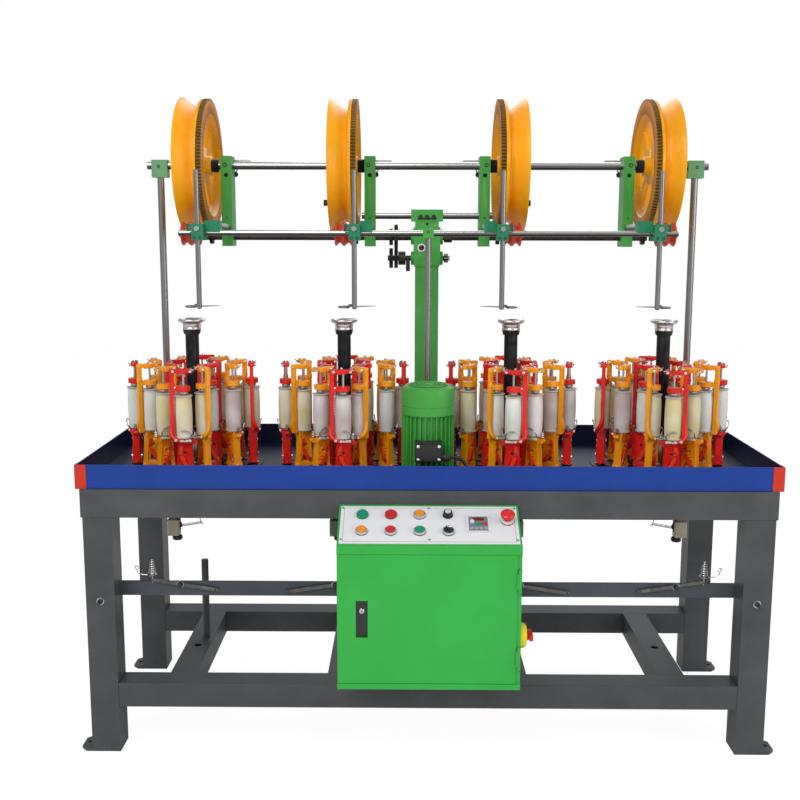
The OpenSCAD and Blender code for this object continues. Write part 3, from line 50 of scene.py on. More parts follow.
camera.matrix_world = (Matrix.Translation((-0.0534, -2.9077, 1.3533))
                       @ Matrix.Rotation(math.radians(0.44), 4, "Z")
                       @ Matrix.Rotation(math.radians(90 - 8.932), 4, "X")
                       @ Matrix.Rotation(math.radians(0.125), 4, "Z"))

# The studio: a pale floor that keeps a soft shadow and runs out into a white surround,
# with a large lamp above the camera, a fill at the right and a strip over the back.
bpy.context.scene.view_settings.view_transform = "Standard"


def feed(tree, node, values):
    """Sets the inputs of a shader node. A value that is a node or a socket is linked to the input."""
    for socket, value in values.items():
        if isinstance(value, bpy.types.Node):
            value = value.outputs[0]
        if isinstance(value, bpy.types.NodeSocket):
            tree.links.new(value, node.inputs[socket])
        else:
            node.inputs[socket].default_value = value
    return node


def add(tree, kind, values=(), **settings):
    """A new shader node with these settings and inputs."""
    node = tree.nodes.new("ShaderNode" + kind)
    for setting, value in settings.items():
        setattr(node, setting, value)
    return feed(tree, node, dict(values))


world = bpy.data.worlds.new("studio")
bpy.context.scene.world = world
world.use_nodes = True
sky = world.node_tree
sky.nodes.clear()
soft_light = add(sky, "Background", {"Color": (0.98, 0.99, 1.0, 1), "Strength": 0.52})
white_wall = add(sky, "Background", {"Color": (1, 1, 1, 1), "Strength": 1.0})
which_ray = add(sky, "LightPath")
seen = add(sky, "Math", {0: which_ray.outputs["Is Camera Ray"], 1: which_ray.outputs["Is Transmission Ray"]},
           operation="MAXIMUM")
add(sky, "OutputWorld", {"Surface": add(sky, "MixShader", {0: seen, 1: soft_light, 2: white_wall})})

floor_mesh = bpy.data.meshes.new("floor")
floor_mesh.from_pydata([(-9, -7, 0), (9, -7, 0), (9, 11, 0), (-9, 11, 0)], [], [(0, 1, 2, 3)])
floor = bpy.data.objects.new("floor", floor_mesh)
bpy.context.scene.collection.objects.link(floor)
floor_paint = bpy.data.materials.new("studio floor")
floor_paint.use_nodes = True
mix = floor_paint.node_tree
mix.nodes.clear()
matt = add(mix, "BsdfDiffuse", {"Color": (0.9, 0.9, 0.9, 1)})
glow = add(mix, "Emission", {"Strength": 1.08})
share = add(mix, "Math", {0: add(mix, "LightPath").outputs["Is Camera Ray"], 1: 0.86}, operation="MULTIPLY")
add(mix, "OutputMaterial", {"Surface": add(mix, "MixShader", {0: share, 1: matt, 2: glow})})
floor.data.materials.append(floor_paint)

lamp_list = [("key", (-1.6, -3.6, 3.9), (0, 0, 0.9), 3.2, 120),
             ("fill", (3.6, -2.4, 2.2), (0, 0, 0.9), 2.6, 52),
             ("back_strip", (0.5, 2.6, 3.4), (0, 0, 1.1), 2.4, 45)]
for lamp_name, place, target, size, watts in lamp_list:
    lamp = bpy.data.objects.new(lamp_name, bpy.data.lights.new(lamp_name, "AREA"))
    lamp.data.size = size
    lamp.data.energy = watts
    bpy.context.scene.collection.objects.link(lamp)
    aim = np.subtract(place, target)
    lamp.matrix_world = (Matrix.Translation(place)
                         @ Matrix.Rotation(math.atan2(aim[0], -aim[1]), 4, "Z")
                         @ Matrix.Rotation(math.atan2(math.hypot(aim[0], aim[1]), aim[2]), 4, "X"))

# The table's frame: square steel tube, cut, welded and brushed with grey enamel.
# Foot plates, rails and the flat bar behind the legs are painted in the same pot.


def blank(name):
    """A new material, with its node tree, its principled shader and the socket of its object coordinates."""
    material = bpy.data.materials.new(name)
    material.use_nodes = True
    tree = material.node_tree
    return material, tree, tree.nodes["Principled BSDF"], add(tree, "TexCoord").outputs["Object"]


def ramp(tree, noise, low, high, start=0.0, end=1.0):
    """Colours that run from low to high between two values of a noise."""
    tint = add(tree, "ValToRGB", {"Fac": noise})
    for element, place, colour in zip(tint.color_ramp.elements, (start, end), (low, high)):
        element.position, element.color = place, (*colour, 1)
    return tint


def enamel(name, colour, rough=0.38, mottle=0.16, grain=900, dent=0.06, coat=0.0, shine=0.3):
    """Brushed enamel on steel: broad noise shifts the colour and the gloss, fine noise gives orange peel."""
    paint, tree, skin, where = blank(name)
    cloud = add(tree, "TexNoise", {"Vector": where, "Scale": 7, "Detail": 5, "Roughness": 0.62})
    tint = ramp(tree, cloud, [c * (1 - mottle) for c in colour],
                [min(1, c * (1 + mottle * 0.7) + 0.004) for c in colour], 0.3, 0.72)
    gloss = add(tree, "MapRange", {"Value": cloud, "To Min": rough - 0.07, "To Max": rough + 0.12})
    peel = add(tree, "TexNoise", {"Vector": where, "Scale": grain, "Detail": 2})
    relief = add(tree, "Bump", {"Strength": dent, "Distance": 0.0006, "Height": peel})
    feed(tree, skin, {"Base Color": tint, "Roughness": gloss, "Normal": relief, "Coat Weight": coat,
                      "Coat Roughness": 0.12, "Specular IOR Level": shine})
    return paint


def dressed(node, material):
    """A CAD node keeps its shape and takes a finish."""
    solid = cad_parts[node]
    solid.data.materials.clear()
    solid.data.materials.append(material)
    return solid


def broken_edge(part, width, angle):
    """A small two-step bevel on every edge sharper than this angle."""
    edge = part.modifiers.new("broken edge", "BEVEL")
    edge.width = width
    edge.segments = 2
    edge.limit_method = "ANGLE"
    edge.angle_limit = math.radians(angle)
    edge.harden_normals = True


def eased(node, body, material, width=0.0, angle=35, others=(), choose=None):
    """A welded copy of a CAD node whose sharp edges are broken by a small bevel, shown in its place.
    choose takes the middles, in mm, and the normals of its faces, and gives each face 0 for the material,
    1 for the first of the others, and so on."""
    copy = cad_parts[node].data.copy()
    copy.materials.clear()
    copy.materials.append(material)
    shape = bmesh.new()
    shape.from_mesh(copy)
    bmesh.ops.remove_doubles(shape, verts=shape.verts, dist=0.00002)
    if width:
        bmesh.ops.dissolve_limit(shape, verts=shape.verts, edges=shape.edges, angle_limit=math.radians(0.6))
    shape.to_mesh(copy)
    shape.free()
    if choose:
        for other in others:
            copy.materials.append(other)
        middles, normals = np.empty(3 * len(copy.polygons)), np.empty(3 * len(copy.polygons))
        copy.polygons.foreach_get("center", middles)
        copy.polygons.foreach_get("normal", normals)
        chosen = choose(middles.reshape(-1, 3) * 1000, normals.reshape(-1, 3))
        copy.polygons.foreach_set("material_index", chosen.astype(np.int32))
    copy.shade_smooth()
    copy.set_sharp_from_angle(angle=math.radians(angle))
    part = bpy.data.objects.new(node + "_skin", copy)
    bpy.context.scene.collection.objects.link(part)
    if width:
        broken_edge(part, width, angle)
    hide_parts(node)
    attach(part, body)
    return part


grey = enamel("grey enamel", (0.066, 0.068, 0.073), rough=0.42, mottle=0.2)
for tube in ("legs", "long_rails", "cross_rails"):
    eased(tube, "machine", grey, 0.0022)
bar_grey = enamel("blue-grey enamel", (0.06, 0.068, 0.082), rough=0.4)
eased("mid_bar", "machine", bar_grey, 0.0008)
eased("gear_case", "machine", enamel("gear case enamel", (0.07, 0.073, 0.078), rough=0.4,
                                                   mottle=0.22), 0.002)

# The tray is blue sheet: a floor and four boards. Orange-red angles are fixed round its corners, and its
# inside is coloured a much darker blue.
blue = enamel("blue enamel", (0.003, 0.038, 0.27), rough=0.32, mottle=0.1)
dark_inside_blue = enamel("dark inside blue enamel", (0.002, 0.01, 0.045), rough=0.34, mottle=0.4)
SHEET_X, SHEET_Y, RIM_Z = 898.5, 298.5, 773.5


def tray_inside(middle, normal):
    """Faces within the walls and below the rim: these take the darker blue."""
    return (np.abs(middle[:, 0]) < SHEET_X) & (np.abs(middle[:, 1]) < SHEET_Y) & (middle[:, 2] < RIM_Z)


eased("tray", "machine", blue, 0.001, others=(dark_inside_blue,), choose=tray_inside)
eased("corner_caps", "machine", enamel("corner red", (0.58, 0.035, 0.014), rough=0.42,
                                                     shine=0.2), 0.0005)

# Track plates, quoits and horn gears are machined cast iron, black with oil, and worn
# bright where the carriers' feet slide.


def oily_iron(name, colour, rough=0.4):
    """Machined iron with an oil film: swirling noise darkens it and changes its gloss."""
    iron, tree, skin, where = blank(name)
    oil = add(tree, "TexNoise", {"Vector": where, "Scale": 24, "Detail": 6, "Distortion": 0.8})
    tint = ramp(tree, oil, [c * 0.6 for c in colour], [min(1, c * 1.5 + 0.01) for c in colour], 0.32, 0.7)
    gloss = add(tree, "MapRange", {"Value": oil, "To Min": rough - 0.14, "To Max": rough + 0.16})
    tool = add(tree, "TexNoise", {"Vector": where, "Scale": 700})
    relief = add(tree, "Bump", {"Strength": 0.15, "Distance": 0.0004, "Height": tool})
    feed(tree, skin, {"Metallic": 0.75, "Base Color": tint, "Roughness": gloss, "Normal": relief})
    return iron


track_iron = oily_iron("track iron", (0.03, 0.031, 0.034), 0.42)
dressed("track_plates", track_iron)
gear_iron = oily_iron("gear iron", (0.07, 0.065, 0.06), 0.38)
dressed("horn_gears", gear_iron)

# Carriers: small castings, half of them red and half orange. Each has a ribbed body, a shelf
# with a row of white ceramic guides, a side post, a bobbin spindle, a tension lever with its
# spring, and a top arm with eyelets. Lengths are in millimetres, z up from the track plates.
DECK = 716.0
HEADS = (-653.0, -231.0, 231.0, 653.0)
GEAR_RING = 117.589
PATH = 45.0
WEAVE = 8.0


def grid(rows, columns, wrap_rows=False, wrap_columns=False):
    """Quads between neighbouring points of a rows by columns grid."""
    i = np.arange(rows - (not wrap_rows))[:, None]
    j = np.arange(columns - (not wrap_columns))[None, :]
    down, along = (i + 1) % rows, (j + 1) % columns
    quads = [i * columns + j, i * columns + along, down * columns + along, down * columns + j]
    return np.stack(np.broadcast_arrays(*quads), -1).reshape(-1, 4).tolist()


def turned(profile, sides=24, axis="z", centre=(0, 0, 0)):
    """A profile of (radius, height) carried round an axis: x = r cos t, y = r sin t."""
    r, h = np.array(profile, float).T
    t = np.linspace(0, 2 * math.pi, sides, endpoint=False)
    ring = np.stack([r[:, None] * np.cos(t), r[:, None] * np.sin(t), np.repeat(h[:, None], sides, 1)], -1)
    order = {"z": (0, 1, 2), "x": (2, 0, 1), "y": (1, 2, 0)}[axis]
    return ring.reshape(-1, 3)[:, order] + np.array(centre, float), grid(len(r), sides, wrap_columns=True)


def closed_turned(profile, sides=24, axis="z", centre=(0, 0, 0)):
    """As turned, with the profile's ends joined, so that it is a ring."""
    return turned(list(profile) + [profile[0]], sides, axis, centre)


def tube(path, radius, sides=8):
    """A round bar along a path: each ring stands square to the path, and both ends are closed."""
    path = np.array(path, float)
    radius = np.broadcast_to(np.array(radius, float), len(path))
    run = np.gradient(path, axis=0)
    run /= np.linalg.norm(run, axis=1, keepdims=True)
    side = np.cross(run, np.array([0.31, 0.17, 0.93]))
    side /= np.linalg.norm(side, axis=1, keepdims=True)
    up = np.cross(run, side)
    path = np.concatenate([path[:1], path, path[-1:]])
    side = np.concatenate([side[:1], side, side[-1:]])
    up = np.concatenate([up[:1], up, up[-1:]])
    radius = np.concatenate([[0], radius, [0]])
    t = np.linspace(0, 2 * math.pi, sides, endpoint=False)
    ring = (path[:, None] + radius[:, None, None] * (np.cos(t)[None, :, None] * side[:, None]
                                                     + np.sin(t)[None, :, None] * up[:, None]))
    return ring.reshape(-1, 3), grid(len(path), sides, wrap_columns=True)


def prism(outline, low, high, axis="z"):
    """A flat outline given thickness along an axis, from low to high."""
    outline = np.array(outline, float)
    n = len(outline)
    flat = np.concatenate([np.column_stack([outline, np.full(n, low)]),
                           np.column_stack([outline, np.full(n, high)])])
    order = {"z": (0, 1, 2), "x": (2, 0, 1), "y": (0, 2, 1)}[axis]
    return flat[:, order], grid(2, n, wrap_columns=True) + [list(range(n))[::-1], list(range(n, 2 * n))]


def block(low, high):
    """A rectangular bar between two opposite corners."""
    (a, b, c), (d, e, f) = low, high
    return prism([(a, b), (d, b), (d, e), (a, e)], c, f)


def lofted(sections, corner=0.35, sides=16):
    """Rounded rectangles (z, half x, half y, mid x, mid y) joined: a superellipse ring at each z."""
    rows = np.array([(list(s) + [0, 0])[:5] for s in sections], float)
    t = np.linspace(0, 2 * math.pi, sides, endpoint=False) + math.pi / sides
    c, s = np.sign(np.cos(t)) * np.abs(np.cos(t)) ** corner, np.sign(np.sin(t)) * np.abs(np.sin(t)) ** corner
    ring = np.stack([rows[:, 3:4] + rows[:, 1:2] * c, rows[:, 4:5] + rows[:, 2:3] * s,
                     np.repeat(rows[:, :1], sides, 1)], -1)
    n = len(rows)
    caps = [list(range(sides))[::-1], list(range((n - 1) * sides, n * sides))]
    return ring.reshape(-1, 3), grid(n, sides, wrap_columns=True) + caps


def joined(*shapes):
    """Several shapes as one list of points and faces."""
    points, faces, start = [], [], 0
    for p, f in shapes:
        points.append(p)
        faces += [[start + i for i in face] for face in f]
        start += len(p)
    return np.concatenate(points), faces


def placed(shape, places):
    """Copies of a shape at each 4 by 4 placing. A mirrored placing has its faces turned over."""
    points, faces = shape
    spread = np.einsum("nij,pj->npi", places[:, :3, :3], points) + places[:, None, :3, 3]
    flip = np.linalg.det(places[:, :3, :3]) < 0
    count = len(points)
    copies = [[[k * count + i for i in (face[::-1] if flip[k] else face)] for face in faces]
              for k in range(len(places))]
    return spread.reshape(-1, 3), [face for copy in copies for face in copy]


def piece(name, shape, material, body="machine", stands_for=(), smooth=32, bevel=0.0):
    """Puts a shape given in millimetres into a mesh, welds its poles and seams, and fixes it to a body."""
    points, faces = shape
    mesh = bpy.data.meshes.new(name)
    mesh.from_pydata((np.asarray(points) * 0.001).tolist(), [], faces)
    shape = bmesh.new()
    shape.from_mesh(mesh)
    bmesh.ops.remove_doubles(shape, verts=shape.verts, dist=0.000004)
    bmesh.ops.recalc_face_normals(shape, faces=shape.faces)
    shape.to_mesh(mesh)
    shape.free()
    mesh.materials.append(material)
    mesh.shade_smooth()
    mesh.set_sharp_from_angle(angle=math.radians(smooth))
    part = bpy.data.objects.new(name, mesh)
    bpy.context.scene.collection.objects.link(part)
    if bevel:
        broken_edge(part, bevel * 0.001, smooth)
    if stands_for:
        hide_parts(*stands_for)
    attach(part, body)
    return part


def carrier_places(red):
    """Placings of one colour's carriers. x points away from the carrier's horn gear, y to its side post."""
    steps = []
    for k in range(8):
        if k % 2 == 0 and red:
            steps.append((k, WEAVE, -1))
        elif k % 2 and red:
            steps.append((k, 180 - WEAVE, 1))
        elif k % 2:
            steps += [(k, 90 - WEAVE, 1), (k, -90 - WEAVE, 1)]
    gear, turn, hand = np.array(steps, float).T
    a, b = np.radians(gear * 45), np.radians(gear * 45 + turn)
    places = np.zeros((4, len(steps), 4, 4))
    for head, x in enumerate(HEADS):
        side = 1 if x < 0 else -1
        places[head, :, 0, 0], places[head, :, 0, 1] = side * np.cos(b), -side * np.sin(b) * hand
        places[head, :, 1, 0], places[head, :, 1, 1] = np.sin(b), np.cos(b) * hand
        places[head, :, 2, 2] = places[head, :, 3, 3] = 1
        places[head, :, 0, 3] = x + side * (GEAR_RING * np.cos(a) + PATH * np.cos(b))
        places[head, :, 1, 3] = GEAR_RING * np.sin(a) + PATH * np.sin(b)
        places[head, :, 2, 3] = DECK
    return places.reshape(-1, 4, 4)


BODY_X, FOOT_Y, SHOULDER_Y = 8.5, 23.0, 18.0
SHELF, TABLE, POST_Y, TOP = 98.0, 103.0, 30.0, 287.0


def cast_details(ribbed):
    """What the bare casting lacks: flutes, bosses, the curved elbow under the bobbin, horns on top."""
    lean = [tube([(x, s * (FOOT_Y - 4.5), 20), (x, s * (SHOULDER_Y - 3.5), 80)], 2.4, 8)
            for s in (-1, 1) for x in (-BODY_X, BODY_X)]
    rim = [closed_turned([(5.6, side * 8), (9.2, side * 8), (8.6, side * 10.4), (6.2, side * 10.4)],
                         16, "x", (0, 0, 62)) for side in (-1, 1)]
    middle = ([tube([(x, 0, 14), (x, 0, 52)], 2.8, 8) for x in (-BODY_X, BODY_X)] if ribbed else
              [tube([(x, -19, z), (x, 19, z)], 1.9, 8) for x in (-BODY_X, BODY_X) for z in (42, 49)])
    toe = [turned([(0, 0), (5.4, 0), (6, 1.4), (6, 7), (4.6, 8.6), (0, 9)], 12, "z", (0, s * 21, 4))
           for s in (-1, 1)]
    elbow = tube([(13, 4, 95), (14, 14, 96), (13, 24, 100), (9, 32, 107), (4, 35, 118), (1, 34, 132),
                  (0, 31, 146)], [5, 6, 6.4, 6.2, 5.8, 5.2, 4.6], 10)
    lug = joined(block((-5, -27, 84), (5, -15, 98)),
                 turned([(0, -6), (6, -6), (6, 6), (0, 6)], 12, "x", (0, -27, 91)))
    cheek = lofted([(236, 6, 6.4, 0, POST_Y), (243, 7.2, 7.6, 0, POST_Y), (250, 6, 6.4, 0, POST_Y)], 0.6, 12)
    horn = [turned([(0, -5), (6.4, -5), (7.4, -2), (7.4, 3), (4.8, 6), (0, 6)], 12, "z", (0, y, TOP - 6))
            for y in (-19, 30)]
    crown = lofted([(TOP - 13, 9, 12, 0, 4), (TOP - 8, 10.5, 15, 0, 4), (TOP - 1, 9.5, 14, 0, 4),
                    (TOP, 8, 12, 0, 4)], 0.6, 14)
    return joined(*lean, *rim, *middle, *toe, elbow, lug, cheek, *horn, crown)


red_paint = enamel("carrier red", (0.74, 0.014, 0.008), rough=0.3, mottle=0.3, grain=500, dent=0.12,
                   coat=0.15)
orange_paint = enamel("carrier orange", (1.0, 0.34, 0.004), rough=0.3, mottle=0.2, grain=500, dent=0.12,
                      coat=0.15)
red_places, orange_places = carrier_places(True), carrier_places(False)
all_places = np.concatenate([red_places, orange_places])
eased("carriers_red", "machine", red_paint, 0.0012)
eased("carriers_orange", "machine", orange_paint, 0.0012)
piece("carriers_red_details", placed(cast_details(True), red_places), red_paint, smooth=45)
piece("carriers_orange_details", placed(cast_details(False), orange_places), orange_paint,
      smooth=45)

# Beside each casting a small cast lever, red on either colour of carrier, swings on a screw. It is
# painted like the bodies, and a short latch stands above it.
lever_paint = enamel("lever red", (0.85, 0.05, 0.012), rough=0.32, grain=500, dent=0.1, coat=0.15)
swing = [(-18, 16), (-12, 13), (4, 30), (13, 50), (10, 57), (4, 54), (-4, 38)]
latch = [(4, 60), (14, 58), (16, 66), (12, 82), (5, 82)]
small_lever = joined(prism(swing, BODY_X, 13.5, "x"), prism(latch, BODY_X, 12.5, "x"),
                     prism(swing, -13.5, -BODY_X, "x"), prism(latch, -12.5, -BODY_X, "x"))
piece("carrier_levers", placed(small_lever, all_places), lever_paint, smooth=40, bevel=0.8)

# Steel of the carriers: sliding foot, pin, spindle, tension rod, springs, cap washers and screws.
# All of it is turned or bent from bright steel and fixed in the casting.


def bright(name, colour, rough=0.3, along="x", streak=260, under=0.0):
    """Ground steel: noise stretched along the grain changes the gloss, and makes faint lines.
    under paints a reflection into the colour: it darkens what faces down, as a painted reflection of a dark
    space under the bar, and lights what faces up."""
    steel, tree, skin, where = blank(name)
    grain = {"x": (2, streak, streak), "z": (streak, streak, 2)}[along]
    line = add(tree, "TexNoise", {"Vector": add(tree, "Mapping", {"Vector": where, "Scale": grain}),
                                  "Scale": 3, "Detail": 4})
    tint = ramp(tree, line, [c * 0.82 for c in colour], [min(1, c * 1.12) for c in colour])
    # Painted reflection: the colour is scaled by the height of each face's normal, darker facing down and
    # lighter facing up.
    facing = add(tree, "SeparateXYZ", {0: where.node.outputs["Normal"]})
    painted_reflection_scale = add(tree, "MapRange", {"Value": facing.outputs["Z"], "From Min": -0.25, "From Max": 0.45,
                                  "To Min": 1 - under, "To Max": 1 + 1.6 * under})
    lit = add(tree, "VectorMath", {"Vector": tint, "Scale": painted_reflection_scale}, operation="SCALE")
    gloss = add(tree, "MapRange", {"Value": line, "To Min": rough - 0.08, "To Max": rough + 0.1})
    feed(tree, skin, {"Metallic": 1.0, "Base Color": lit, "Roughness": gloss})
    return steel


carrier_steel = bright("carrier steel", (0.52, 0.51, 0.5), 0.3, "z", 180)
hardware = joined(
    turned([(0, -30), (4.5, -30), (4.5, 0), (14.5, 0), (16, 1.2), (16, 3), (14.5, 4), (0, 4)], 18),
    turned([(0, TABLE), (3, TABLE), (3, 276), (0, 276)], 8),
    turned([(0, 219), (9, 219), (12, 222), (12, 226), (7, 229), (4.4, 238), (0, 238)], 14),
    tube([(17, -16, 104), (22, -19, 112), (25, -13, 122), (25, -2, 127), (23, 8, 124)], 1.7, 6),
    tube([(2, 22, 109), (2, 22, 236)], 1.7, 6),
    turned([(0, TOP + 4), (3, TOP + 4), (3.6, TOP + 2), (3.6, TOP - 2), (0, TOP - 2)], 8, "z", (0, 4, 0)),
    turned([(0, TOP + 2), (2.8, TOP + 2), (2.8, TOP - 3), (0, TOP - 3)], 8, "z", (0, -19, 0)),
    tube([(7, -12, TOP - 6), (12, -17, TOP - 4), (13, -24, TOP - 1), (10, -29, TOP - 3)], 1.3, 5),
    turned([(0, -15), (4, -15), (4, 15), (0, 15)], 8, "x", (0, -11, 24)),
    turned([(0, -14), (3.4, -14), (3.4, 14), (0, 14)], 8, "x", (0, 9, 68)))
piece("carrier_hardware", placed(hardware, all_places), carrier_steel,
      stands_for=("carrier_feet",))


def coil(turn_count, radii, heights, wire, centre=(0, 0), steps=8, sides=4):
    """Spring wire: radius and height of its circle run evenly from the first value to the last."""
    along = np.linspace(0, 1, turn_count * steps + 1)
    angle, r = 2 * math.pi * turn_count * along, radii[0] + (radii[1] - radii[0]) * along
    line = np.column_stack([centre[0] + r * np.cos(angle), centre[1] + r * np.sin(angle),
                            heights[0] + (heights[1] - heights[0]) * along])
    return tube(line, wire, sides)


springs = joined(coil(7, (4, 4), (168, 222), 0.8, (2, 22), 7),
                 coil(4, (6.4, 3.6), (SHELF, 116), 1.1, (0, -27), 7))
piece("carrier_springs", placed(springs, all_places), carrier_steel)

# Under each bobbin a dark ratchet ring with fourteen teeth holds it against the yarn's pull. It is
# cut from the same oiled iron as the gears.


def star(count, step, high, low):
    """An outline with a point of radius high at each of count equal turns, and one of radius low a step on."""
    turn = np.repeat(np.arange(count) * 2 * math.pi / count, 2) + np.tile([0, step], count)
    r = np.tile([high, low], count)
    return np.column_stack([r * np.cos(turn), r * np.sin(turn)])


ratchet = prism(star(14, 0.12, 21.6, 18.6), SHELF + 0.6, TABLE - 0.1)
piece("bobbin_ratchets", placed(ratchet, all_places), gear_iron)

# White ceramic guides: a row on the shelf, one beside the elbow, two on the top arm and one on the
# tension rod. Each is a small glazed bead with a hole for the yarn.
ceramic, glaze, glaze_skin, glaze_where = blank("white ceramic")
glaze_tint = ramp(glaze, add(glaze, "TexNoise", {"Vector": glaze_where, "Scale": 160}), (0.72, 0.69, 0.62),
                  (0.86, 0.85, 0.81))
feed(glaze, glaze_skin, {"Base Color": glaze_tint, "Roughness": 0.16, "Coat Weight": 0.4})
bead = [(1.2, -2.6), (3.0, -2.6), (3.9, -1.2), (3.9, 1.2), (3.0, 2.6), (1.2, 2.6)]
beads = [closed_turned(bead, 10, "x", (18.2, y, 97)) for y in (-15, -7.5, 0, 7.5)]
beads += [closed_turned(bead, 10, "x", (19.5, 22, 99)), closed_turned(bead, 10, "x", (10, -19, 281)),
          closed_turned(bead, 10, "x", (11, 26, 281)), closed_turned(bead, 10, "z", (2, 22, 238))]
piece("carrier_ceramics", placed(joined(*beads), all_places), ceramic)

# Bobbins: flanged tubes wound with cream and white yarn. The winding swells in the middle,
# and each layer's thread lies almost level.


def wound_yarn(name, dark, light):
    """Yarn on a bobbin: close bands up the winding, crossed by slower ones, tinted by broad noise."""
    yarn, tree, skin, where = blank(name)
    tint = ramp(tree, add(tree, "TexNoise", {"Vector": where, "Scale": 9}), dark, light, 0.38, 0.62)
    thread = add(tree, "TexWave", {"Vector": where, "Scale": 330, "Distortion": 2.2, "Detail": 2,
                                   "Detail Scale": 0.6}, wave_type="BANDS", bands_direction="Z")
    shade = add(tree, "Mix", {"Factor": 0.22, "A": tint, "B": thread},
                data_type="RGBA", blend_type="MULTIPLY")
    relief = add(tree, "Bump", {"Strength": 0.5, "Distance": 0.0006, "Height": thread.outputs["Fac"]})
    feed(tree, skin, {"Base Color": shade.outputs["Result"], "Roughness": 0.72, "Sheen Weight": 0.25,
                      "Normal": relief})
    return yarn


cream = wound_yarn("cream yarn", (0.8, 0.7, 0.36), (0.96, 0.93, 0.74))
swell = np.linspace(0, 1, 9)
winding = np.column_stack([19.5 + 2.2 * np.sin(math.pi * swell) ** 0.6, 106.5 + 108 * swell])
bobbin_yarn = turned([(4, 106.5)] + winding.tolist() + [(4, 214.5)], 20)
piece("bobbin_windings", placed(bobbin_yarn, all_places[::3]), cream, stands_for=("bobbins",),
      smooth=50)
white_yarn = wound_yarn("white yarn", (0.8, 0.8, 0.7), (0.95, 0.95, 0.92))
piece("white_windings", placed(bobbin_yarn, all_places[1::3]), white_yarn, smooth=50)
rose_yarn = wound_yarn("rose-grey yarn", (0.6, 0.5, 0.47), (0.9, 0.82, 0.79))
piece("rose_windings", placed(bobbin_yarn, all_places[2::3]), rose_yarn, smooth=50)
flange = closed_turned([(3.1, TABLE), (22.4, TABLE), (23, TABLE + 0.8), (23, TABLE + 2.4),
                        (22.4, TABLE + 3.3), (3.1, TABLE + 4)], 20)
flanges = joined(flange, (flange[0] * (1, 1, -1) + (0, 0, 320), [f[::-1] for f in flange[1]]))
bobbin_plastic = enamel("bobbin flange", (0.5, 0.47, 0.4), rough=0.4, mottle=0.1)
piece("bobbin_flanges", placed(flanges, all_places), bobbin_plastic)

# Core tubes are blackened pipe. Each stands in a bright sleeve in the middle of its track, and is
# topped by a polished bell mouth.
tube_black = oily_iron("blackened pipe", (0.018, 0.018, 0.019), 0.36)
dressed("core_tubes", tube_black)
sleeve = closed_turned([(18.7, DECK), (27, DECK), (27, DECK + 5), (21, DECK + 7), (21, DECK + 72),
                        (20, DECK + 74), (18.7, DECK + 74)], 28)
sleeve_steel = bright("tube sleeve", (0.62, 0.61, 0.6), 0.2, "z", 60)
piece("core_tube_sleeves", joined(*[(sleeve[0] + (x, 0, 0), sleeve[1]) for x in HEADS]), sleeve_steel,
      smooth=50)
chrome = bright("polished ring", (0.62, 0.62, 0.63), 0.26, "z", 60)
bell = [(12.5, 0), (23.5, 0), (25, 1.5), (25, 6), (24, 7), (24, 9), (25, 10), (25, 17), (28, 19), (33, 21),
        (36.4, 24), (37, 27), (35.6, 30), (32.5, 31), (29, 29.8), (25, 26), (19, 20), (14.5, 14), (12.5, 8)]
BELL_Z = 1092
rings = [closed_turned([(r, BELL_Z + h) for r, h in bell], 48, "z", (x, 0, 0)) for x in HEADS]
piece("bell_mouths", joined(*rings), chrome, stands_for=("braiding_rings",), smooth=50)

# The motor: a cast body with cooling fins round it, a fan cover, and a flange bolted to the tray. It
# stands upright in front of the column, in the same green.


def moulded(name, colour, rough=0.45, speck=600):
    """Moulded plastic: fine noise gives a light spark-eroded grain and small changes of colour."""
    plastic, tree, skin, where = blank(name)
    grain = add(tree, "TexNoise", {"Vector": where, "Scale": speck, "Detail": 3})
    tint = ramp(tree, grain, [c * 0.85 for c in colour], [min(1, c * 1.1 + 0.003) for c in colour])
    relief = add(tree, "Bump", {"Strength": 0.12, "Distance": 0.0003, "Height": grain})
    feed(tree, skin, {"Base Color": tint, "Roughness": rough, "Normal": relief})
    return plastic


green = enamel("machine green", (0.055, 0.33, 0.05), rough=0.34, mottle=0.16, coat=0.1)
MOTOR = (0, -150, 0)
COVER_TOP = 961
fin_count = 30
fin_turn = np.repeat(np.arange(fin_count) * 2 * math.pi / fin_count, 6)
fin_r = np.tile([60.5, 69.3, 70, 70, 69.3, 60.5], fin_count)
fin_side = np.tile([-2.2, -1.4, -0.7, 0.7, 1.4, 2.2], fin_count)
fin_star = np.column_stack([fin_r * np.cos(fin_turn) - fin_side * np.sin(fin_turn),
                            fin_r * np.sin(fin_turn) + fin_side * np.cos(fin_turn)]) + MOTOR[:2]
motor_shape = joined(
    prism(fin_star, 724, 889),
    turned([(0, 714), (76.5, 714), (78, 715.5), (78, 724.5), (76.5, 726), (66, 727), (0, 727)], 48, "z",
           MOTOR),
    turned([(0, 884), (69, 884), (71, 886), (71, 904), (70, 905), (70, 908), (71, 909), (71, 946), (69, 955),
            (62, 960), (0, COVER_TOP)], 48, "z", MOTOR))
piece("motor_body", motor_shape, green, stands_for=("motor",))
black = moulded("black plastic", (0.014, 0.014, 0.015))
# A black disc under the grille stands for the dark openings of the fan cover: painted shade.
piece("motor_fan_shade_disc", turned([(0, COVER_TOP - 0.4), (50, COVER_TOP - 0.4), (50, COVER_TOP + 0.6),
                                (0, COVER_TOP + 0.6)], 32, "z", MOTOR), black)
grille = [closed_turned([(r - 2, COVER_TOP), (r + 2, COVER_TOP), (r + 1.4, COVER_TOP + 3),
                         (r - 1.4, COVER_TOP + 3)], 36, "z", MOTOR) for r in (14, 26, 38, 50)]
grille += [tube([(r * math.cos(a), MOTOR[1] + r * math.sin(a), COVER_TOP + 1.6) for r in (52, 8)], 1.8, 6)
           for a in np.arange(6) * math.pi / 3]
grille.append(turned([(0, COVER_TOP), (9, COVER_TOP), (9, COVER_TOP + 2.4), (7, COVER_TOP + 3.6),
                      (0, COVER_TOP + 4)], 20, "z", MOTOR))
piece("motor_fan_grille", joined(*grille), green, smooth=45)
